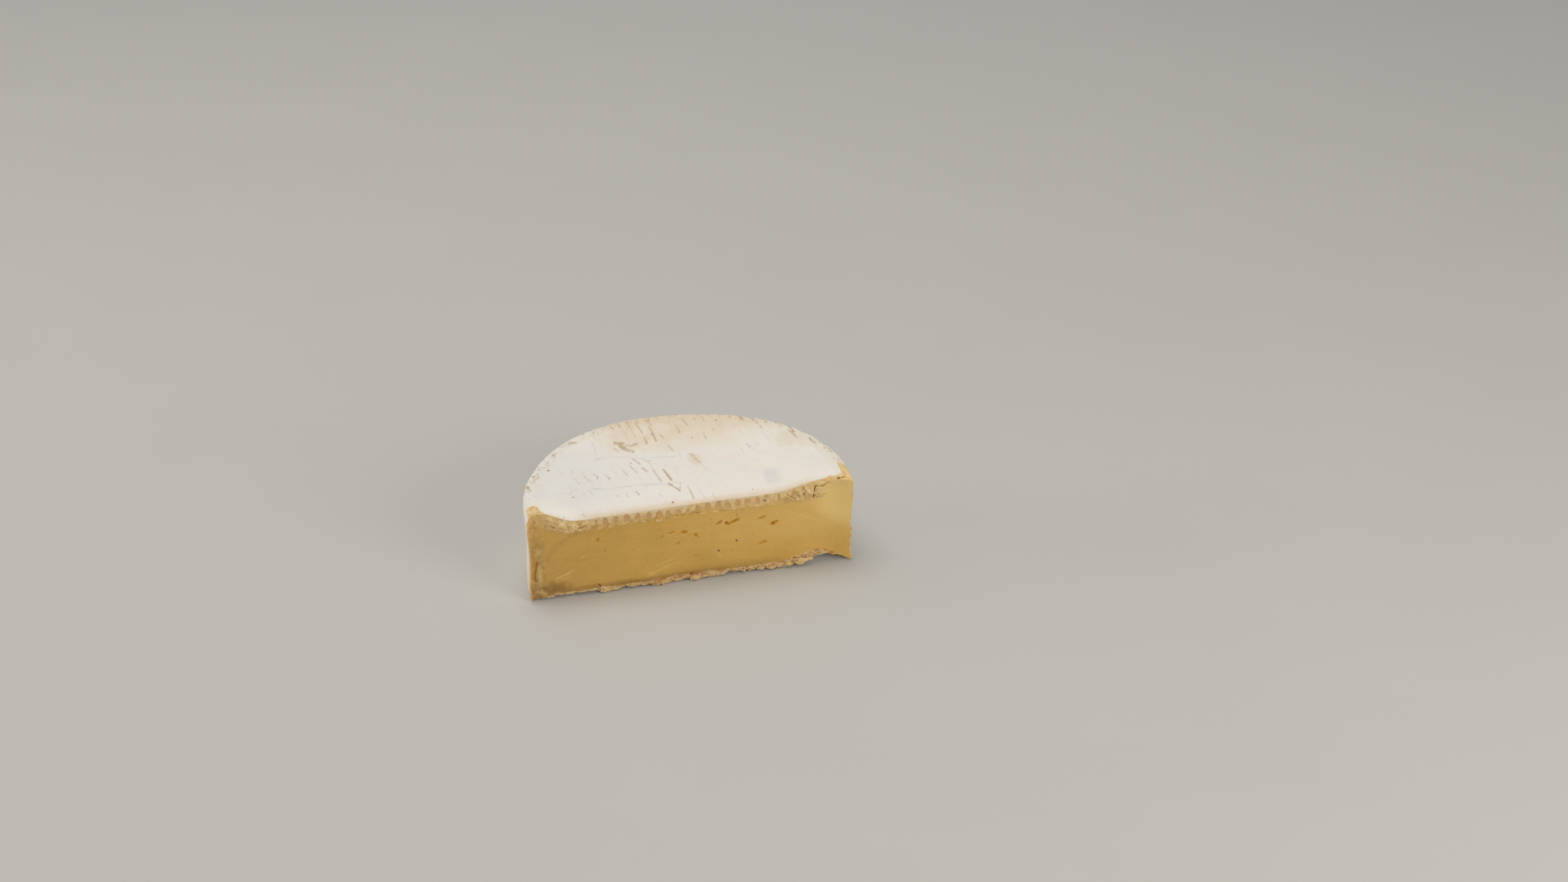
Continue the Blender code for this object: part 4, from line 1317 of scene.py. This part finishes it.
def ball(subdivisions):
    """Points and faces of an even ball of radius 1."""
    work = bmesh.new()
    bmesh.ops.create_icosphere(work, subdivisions=subdivisions, radius=1.0)
    points = np.array([vertex.co[:] for vertex in work.verts])
    faces = np.array([[vertex.index for vertex in face.verts] for face in work.faces])
    work.free()
    return points, faces


def turned(points, random):
    """Points turned to a random direction."""
    axis = random.normal(size=3)
    axis = axis / np.linalg.norm(axis)
    return points @ np.array(Matrix.Rotation(random.uniform(0.0, 2.0 * np.pi), 3, Vector(axis)))


def crumb(points, radii, seed, random):
    """A crumb: a ball turned at random, made uneven by noise and squeezed to three radii."""
    x, y, z = (points * 1.1 + seed * 3.1).T
    swell = 1.0 + 0.4 * noise(x, y, z, 0.85, seed) + 0.3 * noise(x, y, z, 0.4, seed + 1)
    swell = swell + 0.14 * noise(x, y, z, 0.18, seed + 2)
    return turned(points, random) * swell[:, None] * np.array(radii)


def cut_point(loops, x, z):
    """The surface point of the cut face nearest to a place across and up."""
    face = loops[:, :SIDE_ROWS + 1]
    column = int(np.argmin(np.abs(face[:, SIDE_ROWS // 2, 0] - x)))
    row = int(np.argmin(np.abs(face[column, :, 2] - z)))
    return face[column, row]


def at_cut(function, x):
    """The value of a function of the plan at a place across, right at the cut."""
    return float(function(np.array([x]), np.array([0.0]))[0])


def scatter_crumbs(loops):
    """Crumbs of the torn rind: lumps and shreds where they stand out, and fine crumbs along the edges."""
    random = np.random.default_rng(7)
    fine_ball = ball(4)
    plain_ball = ball(2)
    points = []
    faces = []
    tints = []
    count = 0

    def place(shape, at, radii, tint):
        nonlocal count
        made = inside_box(crumb(shape[0], radii, len(points) + 5, random) + at)
        faces.append(shape[1] + count)
        points.append(made)
        tints.append(np.full(len(made), tint))
        count = count + len(made)

    for x, forward, up, length, depth, height in FOOT_LUMPS:
        base = cut_point(loops, x, up)
        place(fine_ball, base + (0.0, -forward, 0.0), (length, depth, height), 0.25)
    for x in np.arange(*FOOT_CRUMBS):
        reach = float(np.interp(x, FOOT_PLACES, FOOT_REACHES))
        lumpy = 0.5 + 0.5 * float(noise(*np.array([[x], [0.0], [0.0]]), 6.0, 131)[0])
        if random.uniform() > 0.5 + 0.45 * lumpy:
            continue
        up = at_cut(foot_lift, x) + random.uniform(0.0, 0.5) * reach
        size = random.uniform(0.2, 0.45) * (0.8 + 0.7 * lumpy ** 2)
        at = cut_point(loops, x, up) + (0.0, random.uniform(-0.1, 0.25), 0.0)
        place(plain_ball, at, (size * 1.4, size * 0.8, size * 0.7), random.uniform(0.0, 0.6))
    for low, high, step, smallest, largest, least_drop in EDGE_CRUMBS:
        for x in np.arange(low, high, step):
            edge = RIM_HEIGHT - at_cut(dish, x) - EDGE_LEAN - EDGE_DROP - WHITE_LIP
            reach = float(np.interp(x, BAND_PLACES, BAND_REACHES))
            drop = reach * random.uniform(least_drop, 1.0)
            size = random.uniform(smallest, largest)
            at = cut_point(loops, x, edge - drop) + (0.0, 0.25 * size, 0.0)
            place(plain_ball, at, (size * 1.5, size * 0.6, size * 0.8), random.uniform(0.0, 0.4))
    for x, forward, up, length, depth, height in SIDE_SHREDS:
        place(plain_ball, (x, -forward, up), (length, depth, height), 0.1)
    mesh = make_mesh("rind_crumbs", np.concatenate(points), np.concatenate(faces).tolist(),
                     {"tint": np.concatenate(tints)}, rounded=False)
    crumbs = add_object("rind_crumbs", mesh, crumb_material())
    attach(crumbs, "root")


def make_specks(loops):
    """Dark specks that lie in the paste."""
    ball_points, ball_faces = ball(3)
    looks = {
        "black": speck_material("black_speck", linear(28, 24, 20), linear(52, 44, 34)),
        "brown": speck_material("brown_speck", linear(110, 72, 34), linear(134, 92, 44)),
    }
    for colour, material in looks.items():
        points = []
        faces = []
        for number, (x, z, length, width, slant, kind) in enumerate(SPECKS):
            if kind != colour:
                continue
            shape = ball_points * (1.0 + 0.25 * noise(*(ball_points.T * 1.5 + number), 1.0, 141))[:, None]
            shape = shape * np.array((length, SPECK_HALF_DEPTH, width))
            turn = np.array(Matrix.Rotation(np.radians(-slant), 3, "Y"))
            faces.append(ball_faces + len(points) * len(ball_points))
            points.append(shape @ turn.T + cut_point(loops, x, z))
        mesh = make_mesh(colour + "_specks", np.concatenate(points), np.concatenate(faces).tolist())
        specks = add_object(colour + "_specks", mesh, material)
        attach(specks, "root")


def make_floor():
    """A wide pale floor, which isn't part of the object."""
    corners = ((-1.0, -1.0, 0.0), (1.0, -1.0, 0.0), (1.0, 1.0, 0.0), (-1.0, 1.0, 0.0))
    points = FLOOR_HALF * np.array(corners)
    mesh = make_mesh("floor", points, [[0, 1, 2, 3]])
    add_object("floor", mesh, floor_material())


def add_area_light(name, place, size, power, colour):
    """A square soft light that faces the cheese, placed in millimetres."""
    light = bpy.data.lights.new(name, "AREA")
    light.shape = "SQUARE"
    light.size = size * MM
    light.energy = power
    light.color = colour
    made = bpy.data.objects.new(name, light)
    made.location = Vector(place) * MM
    towards = Vector(np.array(LIGHTS_AIM) * MM) - made.location
    made.rotation_euler = towards.to_track_quat("-Z", "Y").to_euler()
    bpy.context.scene.collection.objects.link(made)


def make_lights():
    """A large soft light overhead, weak ones at the left and the front right, and pale surroundings."""
    for light in LIGHTS:
        add_area_light(*light)
    world = bpy.data.worlds.new("pale_surroundings")
    bpy.context.scene.world = world
    world.use_nodes = True
    background = world.node_tree.nodes["Background"]
    background.inputs["Color"].default_value = SURROUNDINGS_COLOUR
    background.inputs["Strength"].default_value = SURROUNDINGS_STRENGTH


def make_camera():
    """The photograph's camera."""
    azimuth, elevation, roll = np.radians((CAMERA_AZIMUTH, CAMERA_ELEVATION, CAMERA_ROLL))
    back = Vector((np.sin(azimuth) * np.cos(elevation), -np.cos(azimuth) * np.cos(elevation),
                   np.sin(elevation)))
    level_right = (-back).cross(Vector((0.0, 0.0, 1.0))).normalized()
    level_up = level_right.cross(-back)
    right = level_right * np.cos(roll) + level_up * np.sin(roll)
    up = level_up * np.cos(roll) - level_right * np.sin(roll)
    data = bpy.data.cameras.new("photo_camera")
    data.lens = LENS_MM
    data.sensor_width = SENSOR_MM
    data.clip_start = 0.01
    camera = bpy.data.objects.new("photo_camera", data)
    camera.matrix_world = Matrix((right, up, back)).transposed().to_4x4()
    camera.location = (Vector(CAMERA_TARGET) + Vector(shift) + back * CAMERA_DISTANCE) * MM
    bpy.context.scene.collection.objects.link(camera)
    bpy.context.scene.camera = camera


loops, masks = loop_points()
loops = draw_tips(loops)
cad_low, cad_high = np.array(cad_box) / MM
shift = (cad_low + cad_high - loops.min(axis=(0, 1)) - loops.max(axis=(0, 1))) / 2.0
shift[2] = 0.0
loops = inside_box(loops)

make_cheese(loops, masks)
scatter_crumbs(loops)
make_specks(loops)
make_floor()
make_lights()
make_camera()
bpy.context.scene.view_settings.view_transform = "Standard"
